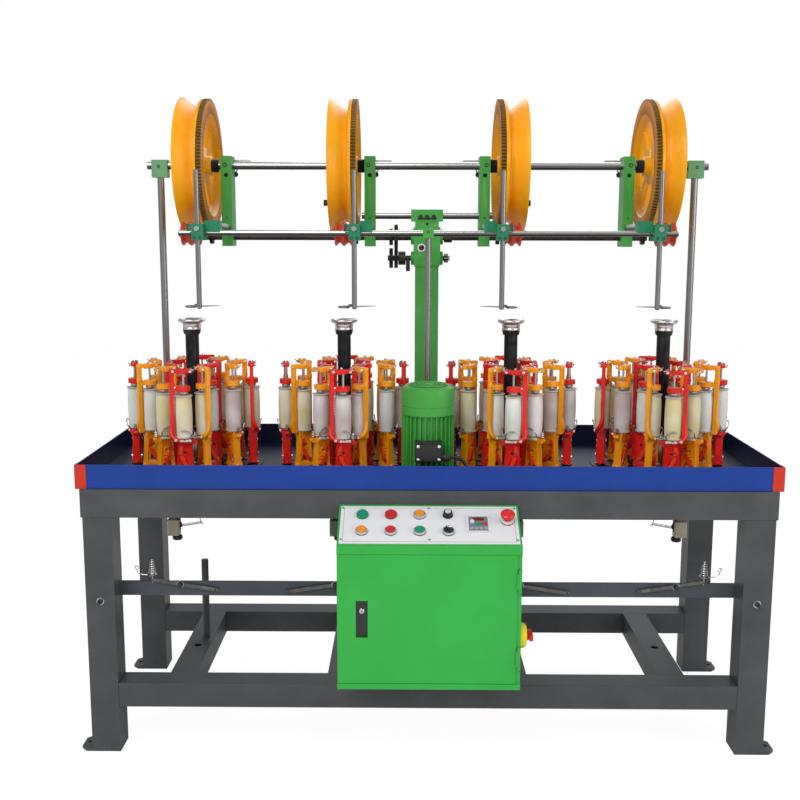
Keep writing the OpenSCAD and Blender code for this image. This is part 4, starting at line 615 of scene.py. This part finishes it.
flange_bolts = joined(*[turned([(0, 726), (6, 726), (6, 731), (5, 732), (0, 732)], 6, "z",
                               (71 * math.cos(a), MOTOR[1] + 71 * math.sin(a), 0))
                        for a in np.radians([45, 135, 225, 315])])
piece("motor_flange_bolts", flange_bolts, carrier_steel)

# Terminal box, gland and grommet are black moulded parts, and four bright screws hold the lid. The
# cable between gland and grommet is stiff.
eased("terminal_box", "machine", black, 0.0015)
LID_Y, LEAD_Y, LEAD_Z = -259.0, -243, 785
lid_screws = joined(*[turned([(0, 0), (4.2, 0), (4, -1.6), (2.4, -2.4), (0, -2.4)], 12, "y", (x, LID_Y, z))
                      for x in (-27, 27) for z in (781, 816)])
piece("terminal_box_screws", lid_screws, bright("lid screw plating", (0.86, 0.86, 0.86), 0.4, "x", 60))
lid_ribs = joined(*[block((x - 3.4, LID_Y - 0.7, 805), (x + 3.4, LID_Y + 0.2, 807.5))
                    for x in (-13, -4, 5, 14)])
gland_nut = turned([(0, 39), (10.5, 39), (11.4, 41), (11.4, 48), (9.6, 51), (8.4, 56), (6, 58), (0, 58)], 16,
                   "x", (0, LEAD_Y, LEAD_Z))
piece("terminal_box_marks", joined(lid_ribs, gland_nut),
      enamel("grey moulding", (0.03, 0.03, 0.032), rough=0.4))
route = np.array([(48, LEAD_Y, LEAD_Z), (62, LEAD_Y, LEAD_Z + 1), (78, -242, 783), (90, -241, 775),
                  (97, -240, 762), (99, -239, 746), (99, -239, 732), (99, -239, 722)], float)
even = np.linspace(0, 7, 50)
route = np.column_stack([np.interp(even, np.arange(8), route[:, k]) for k in range(3)])
rubber = moulded("cable rubber", (0.014, 0.014, 0.015), 0.55)
cable = piece("motor_lead", tube(route, 4.5, 14), rubber, stands_for=("motor_cable",))

# Column, gearbox, brackets and rod blocks are castings and plates in the machine's green. The end
# clamps are a paler green and the roller brackets a bluish one.
for casting, width in (("column", 0.003), ("gearbox", 0.0015), ("brackets", 0.0015)):
    eased(casting, "machine", green, width)
pale_green = enamel("end clamp green", (0.13, 0.34, 0.16), rough=0.38, mottle=0.12)
eased("rod_blocks", "machine", green, 0.002, others=(pale_green,),
      choose=lambda middle, normal: np.abs(middle[:, 0]) > 600)
teal = enamel("clamp green", (0.012, 0.2, 0.09), rough=0.34, mottle=0.14, coat=0.1)
eased("roller_brackets", "machine", teal, 0.0012)

# Black socket screws hold the castings on their rods: each is a cupped head with a hollow middle.
# The gearbox also has a plug, a round sight glass in a white rim, and a nut on its lower shaft.
SHAFT_Y, SHAFT_Z, CHANGE_Z, ROD_Y, ROD_Z = 200.0, 1549.0, 1285.5, -20.0, 1357.0
HAND = (1, 1, -1, -1)


def socket_screw(r, out, centre):
    """A cap screw along y: a turned cup of radius r that stands out this far, hollow to half its radius."""
    cup = [(r, 0), (r, -out + 0.6), (r - 0.6, -out), (0.55 * r, -out), (0.5 * r, -out + 1.6), (0, -out + 1.6)]
    return turned(cup, 12, "y", centre)


BRACKETS = (76, 66, 66, 76)
screws = [socket_screw(5.6, 1.5, (x + hand * off, SHAFT_Y - 21, SHAFT_Z - 28))
          for x, hand, off in zip(HEADS, HAND, BRACKETS)]
screws += [socket_screw(r, 0.6, (x + hand * (off + across), SHAFT_Y - 32.5, z))
           for x, hand, off in zip(HEADS, HAND, BRACKETS)
           for r, across, z in ((6.4, -4, SHAFT_Z + 1), (3.2, 0, SHAFT_Z - 148))]
screws += [socket_screw(4.4, 0.8, (x + hand * (17 + across), -56, z)) for x, hand in zip(HEADS, HAND)
           for across, z in ((8, 1344), (23, 1344), (-8, 1377), (-8, 1366))]
screws += [socket_screw(4.8, 0.8, (s * 774, SHAFT_Y - 16, SHAFT_Z - 3)) for s in (-1, 1)]
screws += [socket_screw(3.6, 0.8, (0, ROD_Y - 17, ROD_Z + 3))]
screws += [socket_screw(6.2, 4, (x, 170, 1404)) for x in (-19, 0, 19)]
screws += [socket_screw(4, 2.5, (0, 166, 1384)), block((-27, 169.2, 1396), (27, 170.4, 1402))]
piece("casting_screws", joined(*screws), black, smooth=40)
plugs = [turned([(0, 0), (8, 0), (8, -2.6), (6.8, -3.6), (0, -3.6)], 6, "y", (x + hand * 31, -56, 1368))
         for x, hand in zip(HEADS, HAND)]
plugs += [turned([(0, 50), (12, 50), (12, 60), (10.6, 61), (0, 61)], 6, "x", (0, SHAFT_Y, CHANGE_Z)),
          turned([(0, 61), (8.4, 61), (8, 66.5), (0, 67)], 14, "x", (0, SHAFT_Y, CHANGE_Z)),
          turned([(0, 0), (4, 0), (3.4, -1.6), (0, -2)], 10, "y", (9, 161.5, 1369))]
piece("nuts_and_plugs", joined(*plugs), carrier_steel)
SIGHT = (-16, 161.5, 1316)
sight_rim = closed_turned([(8, 0.5), (11.6, 0.5), (11.6, -1.4), (10.4, -2), (8.6, -2), (8, -1.2)], 28, "y",
                          SIGHT)
piece("sight_glass_rim", sight_rim, enamel("rim white", (0.72, 0.72, 0.68), rough=0.3, mottle=0.06))
piece("sight_glass", turned([(0, 1.6), (8.2, 1.6), (8.2, 0), (6, -0.9), (0, -1.2)], 24, "y", SIGHT),
      moulded("sight glass", (0.02, 0.012, 0.006), 0.08))

# Rods and posts are ground steel bar, clamped in the green blocks. The front rod and the shaft carry a painted
# reflection in their colour: lighter on their upper faces and darker on their lower faces.
rod_steel = bright("ground rod", (0.34, 0.335, 0.33), 0.22, "x", under=0.7)
dressed("cross_rods", rod_steel)
post_steel = bright("ground post", (0.3, 0.295, 0.29), 0.28, "z")
dressed("end_posts", post_steel)

# Ring guides hang in the roller brackets: each is a ground stem with a cranked arm, a wire eye over
# the bell mouth, and a thin tapered feeler.
GUIDE_X, GUIDE_Y, EYE_Z, STEM_TOP = 31.0, -42.0, 1156.0, 1522.5
stem = turned([(0, EYE_Z - 4), (4, EYE_Z - 3.4), (6.6, EYE_Z - 1), (7, EYE_Z + 2), (7, STEM_TOP),
               (0, STEM_TOP)], 20, "z", (GUIDE_X, GUIDE_Y, 0))
wire_turn = np.linspace(0, 2 * math.pi, 8, endpoint=False)
eye_wire = closed_turned(np.column_stack([13.4 + 3.2 * np.cos(wire_turn),
                                          EYE_Z + 3 * np.sin(wire_turn)]).tolist(), 24)
crank = tube([(8, -13, EYE_Z), (12, -19, EYE_Z + 0.5), (17, -24, EYE_Z + 5), (24, -31, EYE_Z + 6),
              (GUIDE_X, GUIDE_Y, EYE_Z + 5)], [3, 3.8, 4.2, 3.8, 3.4], 10)
feeler = tube([(GUIDE_X + 4, GUIDE_Y, EYE_Z + 4), (GUIDE_X + 34, GUIDE_Y, EYE_Z + 5),
               (GUIDE_X + 58, GUIDE_Y, EYE_Z + 5.4)], [2.2, 1.6, 0.7], 8)


def mirrored(hand, x, y=0.0, z=0.0):
    """A placing that moves by (x, y, z). Where hand is -1 it also swaps left and right."""
    place = np.eye(4)[None]
    place[0, 0, 0] = hand
    place[0, :3, 3] = x, y, z
    return place


sides = np.concatenate([mirrored(hand, x) for hand, x in zip(HAND, HEADS)])
piece("guide_stems", placed(joined(stem, feeler), sides), post_steel,
      stands_for=("ring_guides",))
piece("guide_eyes", placed(joined(eye_wire, crank), sides),
      bright("eye steel", (0.24, 0.235, 0.23), 0.3, "z", 60), smooth=50)

# Behind each wheel bracket a pawl: a flat bar with a round end on the shaft, a slanted strut, and a
# black knob on a pin.
bar_end = np.linspace(0.3, 2.84, 6)
pawl_bar = np.concatenate([[(0, 4), (0, -4), (58, -4)],
                           np.column_stack([58 + 4 * np.sin(bar_end), -4 * np.cos(bar_end)]), [(58, 4)]])
pawls, knobs = [], []
for x, hand, off in zip(HEADS, HAND, BRACKETS):
    place = mirrored(hand, x + hand * off, SHAFT_Y + 32.5, SHAFT_Z)
    pawls.append(placed(joined(prism(pawl_bar + (0, 15), 0, 6, "y"),
                               tube([(31, 3, 11), (16.5, 3, -20)], 2.4, 8)), place))
    knobs.append(placed(joined(turned([(0, 0), (6.4, 0), (8, 1.6), (8, 10.4), (6.4, 12), (0, 12)], 18, "y",
                                      (15.5, 0, -22)),
                               tube([(15.5, 6, -22), (3, 6, -29)], 1.6, 6)), place))
piece("pawl_bars", joined(*pawls), carrier_steel, stands_for=("pawl_levers",), bevel=0.5)
piece("pawl_knobs", joined(*knobs), black)

# Drive shaft and change-gear shaft turn in the gearbox and the brackets, dark with grease, with
# their pinions and change gears on them.
dark_shaft = oily_iron("drive shaft iron", (0.035, 0.03, 0.028), 0.34)
dressed("drive_shaft", dark_shaft)
dressed("change_gear_shaft", dark_shaft)

# Take-up wheels: yellow castings, turned smooth in the groove, with teeth cut in the flange. The
# teeth are brown with grease, the machined face is worn to ochre, and the collars are blackened.
yellow = enamel("wheel yellow", (0.9, 0.38, 0.002), rough=0.36, mottle=0.12, coat=0.1, shine=0.25)
tooth_brown = enamel("greased teeth", (0.2, 0.1, 0.012), rough=0.5, mottle=0.5)
face_ochre = enamel("worn ochre face", (0.52, 0.21, 0.03), rough=0.55, mottle=0.2, shine=0.15)
hub_black = enamel("blackened hub", (0.02, 0.017, 0.015), rough=0.45)
ROOT_R, COLLAR_R, COLLAR_IN, COLLAR_OUT, CRANK, FACE_R, FACE_X = 180.2, 19.6, 30.5, -40.5, -51.0, 144.0, 31.0


def wheel_finish(x, hand):
    """For one wheel: 1 on the band of tooth tips and gaps, 2 on the face ring of the toothed side,
    3 on collars and crank."""
    def choose(middle, normal):
        out, far = (middle[:, 0] - x) * hand, np.hypot(middle[:, 1] - SHAFT_Y, middle[:, 2] - SHAFT_Z)
        teeth = (far > ROOT_R) & (np.abs(normal[:, 0]) < 0.5) & (out > 17)
        face = (far > FACE_R) & (normal[:, 0] * hand > 0.7) & (out > FACE_X)
        hub = ((far < COLLAR_R) & ((out > COLLAR_IN) | (out < COLLAR_OUT))) | (out < CRANK)
        return teeth + 2 * face + 3 * hub
    return choose


for k, x, hand in zip(range(1, 5), HEADS, HAND):
    eased("take_up_wheel_%d" % k, "take_up_wheel_%d" % k, yellow, angle=28,
          others=(tooth_brown, face_ochre, hub_black), choose=wheel_finish(x, hand))

# Guide rollers are turned from orange-red plastic, grooved for the braid, and run free on the axles
# of their brackets.
roller_red = moulded("roller orange-red", (0.6, 0.055, 0.02), 0.4)
for k in range(1, 5):
    dressed("guide_roller_%d" % k, roller_red)

# The control box is folded sheet in bright green, with a door hung on the right. The door's black
# swing-out latch has a plated key lock.
box_green = enamel("box green", (0.028, 0.41, 0.055), rough=0.36, mottle=0.06, coat=0.1)
eased("box_shell", "machine", box_green, 0.0014)
eased("box_door", "box_door", box_green, 0.0012)
eased("door_latch", "door_latch", black, 0.0008)
key_face = closed_turned([(2.2, 0), (6.5, 0), (6.5, -1), (5.6, -1.8), (2.2, -1.4)], 20, "y",
                         (-165, -443, 442))
piece("latch_lock", key_face, bright("lock plating", (0.6, 0.6, 0.6), 0.2, "x", 60),
      body="door_latch")

# The panel is a white printed plate screwed to the box's sloped top. Places on it are measured
# right from its middle and up the slope from the front edge, with height square to the plate.
SLOPE, SLOPE_LEN, PANEL_X = math.atan2(65, 135), math.hypot(65, 135), 221.0
COLUMNS, ROW_TOP, ROW_LOW = (-166.788, -95.372, -23.504, 47.46), 107.0, 46.0
PLATE = 2.0
BOX_FRONT, BOX_TOP = -440, 609


def on_panel(shape, right=0.0, up=0.0):
    """Points moved by (right, up), leaned back by the slope about x, and set at the box's front top edge."""
    x, y, z = (np.asarray(shape[0]) + (right, up, 0)).T
    lean, rise = math.cos(SLOPE), math.sin(SLOPE)
    return np.column_stack([x, y * lean - z * rise + BOX_FRONT, y * rise + z * lean + BOX_TOP]), shape[1]


def rounded_ring(half_x, half_y, corner, wide, low, high):
    """A rectangular frame: corner arcs of radius corner give its outer line, smaller ones its inner line."""
    t = np.linspace(0, 2 * math.pi, 32, endpoint=False) + math.pi / 32
    sign = np.column_stack([np.sign(np.cos(t)), np.sign(np.sin(t))])
    arc = np.column_stack([np.cos(t), np.sin(t)])
    rows = [(corner, low), (corner, high), (corner - wide, high), (corner - wide, low)]
    ring = [np.column_stack([sign * (half_x - corner, half_y - corner) + arc * r, np.full(32, z)])
            for r, z in rows]
    return np.concatenate(ring), grid(4, 32, wrap_rows=True, wrap_columns=True)


panel_white = enamel("panel foil", (0.74, 0.745, 0.755), rough=0.34, mottle=0.03, dent=0.02)
dressed("panel_plate", panel_white)
printed_line = on_panel(rounded_ring(PANEL_X - 8, SLOPE_LEN / 2 - 12, 7, 0.9, PLATE, PLATE + 0.15), 0,
                        SLOPE_LEN / 2 - 2.5)
piece("panel_border", printed_line, moulded("printed grey", (0.2, 0.2, 0.21)))
screw_head = joined(turned([(0, PLATE), (3.6, PLATE), (3.5, PLATE + 1.2), (2.2, PLATE + 2), (0, PLATE + 2.1)],
                           12))
panel_screws = [on_panel(screw_head, x, y) for x in (-216, 0, 216) for y in (16, SLOPE_LEN - 16)]
piece("panel_screws", joined(*panel_screws), carrier_steel)

# Push buttons: a coloured lens in a bezel. Start and stop have bezels of their own colour, the
# others are plated, and all stand on a black ring. The lens rides on its own button.
plating = bright("bezel plating", (0.72, 0.72, 0.73), 0.16, "z", 40)
colours = {"green": (0.0, 0.27, 0.13), "red": (0.56, 0.008, 0.012), "orange": (0.83, 0.27, 0.008)}
lenses = {name: moulded(name + " lens", colour, 0.25) for name, colour in colours.items()}
bezel = closed_turned([(11.85, 4.6), (15.2, 4.6), (15.2, 8.2), (14.2, 9.8), (12.8, 10), (11.85, 9.2)], 28)
skirt = closed_turned([(11.85, PLATE), (15.25, PLATE), (15.25, 4.6), (11.85, 4.6)], 28)
lens = turned([(0, -4), (11.75, -4), (11.75, 12), (11.2, 13), (9.8, 13), (9.2, 12.3), (0, 12)], 28)
buttons = [("start_button", "green", 0, ROW_TOP), ("stop_button", "red", 1, ROW_TOP),
           ("jog_button", "orange", 2, ROW_TOP), ("reset_button", "orange", 0, ROW_LOW),
           ("alarm_button", "red", 1, ROW_LOW), ("light_button", "green", 2, ROW_LOW)]
for button, colour, column, row in buttons:
    piece(button + "_lens", on_panel(lens, COLUMNS[column], row), lenses[colour],
          body=button, stands_for=(button,))
plated = [on_panel(bezel, COLUMNS[k], row)
          for k, row in ((2, ROW_TOP), (0, ROW_LOW), (1, ROW_LOW), (2, ROW_LOW), (3, ROW_LOW))]
piece("plated_bezels", joined(*plated), plating, stands_for=("button_bezels",))
piece("start_bezel", on_panel(bezel, COLUMNS[0], ROW_TOP), lenses["green"])
piece("stop_bezel", on_panel(bezel, COLUMNS[1], ROW_TOP), lenses["red"])
skirts = [on_panel(skirt, x, y) for x, y in [(COLUMNS[k], r) for k in range(3) for r in (ROW_TOP, ROW_LOW)]
          + [(COLUMNS[3], ROW_LOW)]]
STOP_X, STOP_UP = 195.0, 86.0
skirts.append(on_panel(closed_turned([(9.2, PLATE), (16, PLATE), (16, 4.4), (9.2, 4.4)], 32),
                       STOP_X, STOP_UP))
piece("bezel_skirts", joined(*skirts), black)

# The speed knob is fluted black plastic with a pale cap, and the selector a black grip with a white
# pointer. Both turn on spindles through the plate.
knob_body = joined(turned([(0, 2.2), (13, 2.2), (13, 4.2), (11.6, 6), (0, 6)], 28),
                   prism(star(16, 0.2, 11.2, 10.2), 5, 15.4),
                   turned([(0, 15.4), (9.6, 15.4), (9, 16.3), (0, 16.3)], 24))
piece("speed_knob_grip", on_panel(knob_body, COLUMNS[3], ROW_TOP), black, body="speed_knob",
      stands_for=("speed_knob",))
pale_cap = moulded("knob cap", (0.62, 0.62, 0.62), 0.25)
knob_cap = joined(turned([(0, 16.2), (7.6, 16.2), (7.2, 17), (0, 17)], 24),
                  block((-0.7, 7.4, 15.6), (0.7, 9.6, 16.8)))
piece("speed_knob_cap", on_panel(knob_cap, COLUMNS[3], ROW_TOP), pale_cap, body="speed_knob")
grip = lofted([(8, 4.6, 10.4), (10, 3.6, 10.4), (17.2, 3, 10), (18, 2.2, 9)], 0.5, 20)
pointer = block((-1.1, 1, 17.6), (1.1, 10.4, 18.5))
turn = np.array(Matrix.Rotation(math.radians(35), 3, "Z"))
selector = joined(turned([(0, 2.2), (10.9, 2.2), (10.9, 8.6), (9.6, 9.6), (0, 9.6)], 28),
                  (grip[0] @ turn.T, grip[1]))
piece("selector_grip", on_panel(selector, COLUMNS[3], ROW_LOW), black, body="selector_knob",
      stands_for=("selector_knob",))
piece("selector_pointer", on_panel((pointer[0] @ turn.T, pointer[1]), COLUMNS[3], ROW_LOW),
      moulded("pointer white", (0.78, 0.78, 0.76), 0.3), body="selector_knob")

# The emergency stop is a red moulded mushroom on a conical neck, over a white collar that is fixed
# to the plate.
mushroom = turned([(0, -4), (8.9, -4), (8.9, 15.4), (10.4, 16), (13.4, 19.5), (17.4, 21.6), (18, 23.4),
                   (17.8, 27), (15, 30), (10, 31.6), (0, 32.2)], 32)
stop_red = moulded("stop red", (0.7, 0.012, 0.01), 0.22)
piece("emergency_stop_head", on_panel(mushroom, STOP_X, STOP_UP), stop_red,
      body="emergency_stop", stands_for=("emergency_stop",))
collar = closed_turned([(9.2, 4.4), (15.4, 4.4), (15.4, 7.8), (14.2, 9), (9.2, 9)], 32)
piece("emergency_stop_collar", on_panel(collar, STOP_X, STOP_UP),
      moulded("collar white", (0.76, 0.76, 0.74), 0.3))

# The display is a small grey speed meter in a white frame: dark red window, round knob and keys. It
# is moulded plastic, clipped into the plate.
DISPLAY_X, DISPLAY_UP = 122.0, 73.0


def key(low_x, low_y, high_x, high_y, top):
    """A key or window: a rounded block that stands up from the meter's face to top."""
    mid, half = ((low_x + high_x) / 2, (low_y + high_y) / 2), ((high_x - low_x) / 2, (high_y - low_y) / 2)
    return on_panel(lofted([(5.6, half[0], half[1], *mid), (top - 0.5, half[0], half[1], *mid),
                            (top, half[0] - 0.6, half[1] - 0.6, *mid)], 0.25, 20), DISPLAY_X, DISPLAY_UP)


white_frame = on_panel(rounded_ring(28.5, 31, 3, 4.5, PLATE, 6.4), DISPLAY_X, DISPLAY_UP)
piece("display_frame", white_frame, moulded("frame white", (0.74, 0.74, 0.73), 0.35))
meter = on_panel(block((-24.4, -27, PLATE), (24.4, 27, 5.8)), DISPLAY_X, DISPLAY_UP)
piece("display_meter", meter, moulded("meter grey", (0.16, 0.19, 0.22), 0.35),
      stands_for=("display_module",))
piece("display_window", key(-13, 11, 15, 23, 6.3), moulded("window red", (0.16, 0.004, 0.008), 0.1))
piece("display_knob", on_panel(turned([(0, 5.6), (5.6, 5.6), (5.4, 10), (4.6, 10.8), (0, 11)], 20),
                               DISPLAY_X - 15, DISPLAY_UP + 6),
      moulded("meter knob", (0.76, 0.76, 0.75), 0.3))
piece("display_run_key", key(-6, -6, 7, 4, 7), lenses["green"])
piece("display_stop_key", key(9, -6, 22, 4, 7), lenses["red"])
grey_keys = joined(*[key(x - 5, -21, x + 5, -12, 6.8) for x in (-17, -5, 7, 19)])
piece("display_grey_keys", grey_keys, moulded("key grey", (0.3, 0.36, 0.42), 0.4))

# The isolator on the box's right side is a yellow moulding; a black block in its rim stands for a slot, as
# painted shade. Its red handle turns on a shaft through the moulding.
HANDLE = (0, -380, 358)
isolator_shell = closed_turned([(4.2, 226), (31, 226), (31, 238), (28.6, 244), (24, 246), (17, 246),
                                (15.5, 244.8), (4.2, 244.8)], 36, "x", HANDLE)
piece("isolator_body", isolator_shell, moulded("isolator yellow", (1.0, 0.78, 0.006), 0.35),
      stands_for=("isolator_base",))
# Painted shade: a black block set into the rim where the slot is.
piece("isolator_slot_shade", block((228, -401.4, 333.8), (238.5, -396, 336.4)), black)
handle_bar = np.array([(-24, -6), (-22, -8), (-8, -8.4), (8, -8.4), (22, -8), (24, -6),
                       (24, 6), (22, 8), (8, 8.4), (-8, 8.4), (-22, 8), (-24, 6)]) + HANDLE[1:]
handle = joined(turned([(0, 238), (3.9, 238), (3.9, 246.4), (13, 246.4), (13, 251), (11.6, 252.4),
                        (0, 252.4)], 28, "x", HANDLE),
                prism(handle_bar, 252, 261.2, "x"))
piece("isolator_lever", handle, moulded("isolator red", (0.64, 0.012, 0.01), 0.3),
      body="isolator_handle", stands_for=("isolator_handle",), bevel=0.8)

# Each tension lever is a thin steel bar on a stud of the mid bar. The outer two carry a pin with
# a tapered wire spring in a bright cup, and a thin wire that ends in a small eye.
LEVER_Z, LEVER_BACK, LEVER_FRONT = 438.0, -233.2, -237.8
STUDS = (-654, -244, 244, 654)
lever_steel = oily_iron("lever steel", (0.13, 0.127, 0.123), 0.4)
PIN_X, PIN_Y = -74.0, -235.5


def lever_bar(ends, slope, half=4.8):
    """A flat bar with half-round ends from ends[0] to ends[1] along x, turned about y by the slope."""
    t = np.linspace(-math.pi / 2, math.pi / 2, 7)
    right = np.column_stack([ends[1] - half + half * np.cos(t), half * np.sin(t)])
    left = np.column_stack([ends[0] + half - half * np.cos(t), -half * np.sin(t)])
    line = np.concatenate([right, left])
    c, d = math.cos(math.radians(slope)), math.sin(math.radians(slope))
    return prism(line @ np.array([[c, -d], [d, c]]), LEVER_BACK, LEVER_FRONT, "y")


loop_turn = np.linspace(-math.pi / 2, 1.4 * math.pi, 12)
wire_path = [(PIN_X - 11, PIN_Y, 25), (PIN_X - 24, PIN_Y, 25.4), (PIN_X - 35, PIN_Y, 28),
             (PIN_X - 40, PIN_Y, 34)]
wire_path += [(PIN_X - 41 + 5 * math.cos(a), PIN_Y + 0.4 * k, 44 + 5 * math.sin(a))
              for k, a in enumerate(loop_turn)]
cup = closed_turned([(2, 23.4), (9, 23.4), (13.2, 26.4), (13.8, 28.6), (12.6, 28.6), (9.2, 25.6), (2, 25.4)],
                    24, "z", (PIN_X, PIN_Y, 0))
spring_gear = joined(cup, tube(wire_path, 1.3, 6), coil(6, (9.4, 4.4), (27, 63), 1.5, (PIN_X, PIN_Y), 14, 6),
                     turned([(0, 4), (1.5, 4), (1.5, 66), (3.2, 66.4), (3.2, 68.6), (0, 69)], 10, "z",
                            (PIN_X, PIN_Y, 0)))
spring_steel = bright("spring steel", (0.58, 0.57, 0.56), 0.24, "z", 60)
for k, x, hand in zip(range(1, 5), STUDS, HAND):
    outer = k in (1, 4)
    place = mirrored(hand, x, z=LEVER_Z)
    bar = lever_bar((-78, 102), 9) if outer else lever_bar((-132, 11), -9)
    node = "tension_lever_%d" % k
    piece(node + "_bar", placed(bar, place), lever_steel, body=node, stands_for=(node,),
          bevel=0.6)
    eye_x, tilt = (94, 9) if outer else (-126, -9)
    # Near the free end of each bar a flat black disc stands for a hole through it: painted shade.
    eye = turned([(0, 0.3), (3.2, 0.3), (3.2, -0.2), (0, -0.2)], 14, "y",
                 (eye_x * math.cos(math.radians(tilt)), LEVER_FRONT, -eye_x * math.sin(math.radians(tilt))))
    piece(node + "_hole_shade", placed(eye, place), black, body=node)
    if outer:
        piece(node + "_spring", placed(spring_gear, place), spring_steel, body=node,
              smooth=50)

# Stop-motion boxes hang from straps under the gear case: the outer two beige, the inner two
# grey-green. Each has a black foot knob, a trigger arm with a pull spring, and two screws.
STRAP_Z, CASE_Z, BOX_LOW, BOX_Y = 555.0, 637.0, 509.0, -14.0
beige = enamel("stop box beige", (0.56, 0.48, 0.36), rough=0.5, mottle=0.12)
grey_green = enamel("stop box green", (0.19, 0.24, 0.18), rough=0.5, mottle=0.12)
box_case = joined(lofted([(BOX_LOW, 15.5, 14.6, 0, BOX_Y), (BOX_LOW + 1.5, 17, 16, 0, BOX_Y),
                          (STRAP_Z - 1.5, 17, 16, 0, BOX_Y), (STRAP_Z, 15.5, 14.6, 0, BOX_Y)], 0.22, 28),
                  block((-11, 0, STRAP_Z - 2), (11, 4, CASE_Z)))
pull = coil(16, (3.3, 3.3), (0, 56), 1.0, (0, 0), 8, 5)
lean_out = np.array(Matrix.Rotation(math.radians(80), 3, "Y"))
pull = pull[0] @ lean_out.T + (22, BOX_Y, 536), pull[1]
hook = tube([(x, BOX_Y, z) for x, z in ((84, 540), (80, 543), (77, 546), (76, 551), (72, 564), (68, 590),
                                        (66, CASE_Z))], 1.3, 6)
trigger = joined(prism([(15, 528), (24, 533), (24, 539), (15, 556)], -17, -11, "y"),
                 block((10, -18, 524), (19, -10, 560)))
foot = turned([(0, 495), (11, 495), (14, 497), (14.4, 501), (14, 505.5), (11, 508.5), (0, 509.5)], 24, "z",
              (9, BOX_Y, 0))
box_screws = joined(*[turned([(0, -29.6), (2.6, -29.6), (2.4, -31.4), (0, -31.8)], 10, "y", (x, 0, z))
                      for x, z in ((-11, 514), (9, 521))])
for side, x, hand, paint in (("outer_left", -717, 1, beige), ("inner_left", -257, 1, grey_green),
                             ("inner_right", 257, -1, grey_green), ("outer_right", 717, -1, beige)):
    place = mirrored(hand, x)
    name = "stop_box_" + side
    piece(name, placed(box_case, place), paint,
          stands_for=("stop_motion_boxes",) if side == "outer_left" else ())
    piece(name + "_foot", placed(joined(foot, trigger), place), black)
    piece(name + "_pull_spring", placed(joined(pull, hook, box_screws), place), spring_steel,
          smooth=50)

# Frame bolts: black socket heads on bright washers in the front legs, and domed black knobs
# that keep the levers on their studs.
LEG_X, LEG_FACE, BOLT_Z, KNOB_Y = 847.5, -306, 414.5, -239.8
bolts, washers = [], []
for x in (-LEG_X, LEG_X):
    bolts.append(closed_turned([(3.2, 0), (7, 0), (7, -6), (6, -7), (3.2, -7), (3.2, -3)], 18, "y",
                               (x, LEG_FACE, BOLT_Z)))
    washers.append(closed_turned([(2, 1.1), (10, 1.1), (10, 0), (2, -0.2)], 20, "y", (x, LEG_FACE, BOLT_Z)))
for x in STUDS:
    bolts.append(turned([(0, 0), (8, 0), (8, -5.2), (6.4, -8.8), (3, -10.4), (0, -10.6)], 18, "y",
                        (x, KNOB_Y, LEVER_Z)))
    washers.append(closed_turned([(3.5, 1.2), (9.6, 1.2), (9.6, 0), (3.5, 0)], 20, "y", (x, KNOB_Y, LEVER_Z)))
piece("frame_bolts", joined(*bolts), black, stands_for=("fasteners",))
piece("frame_washers", joined(*washers), carrier_steel)
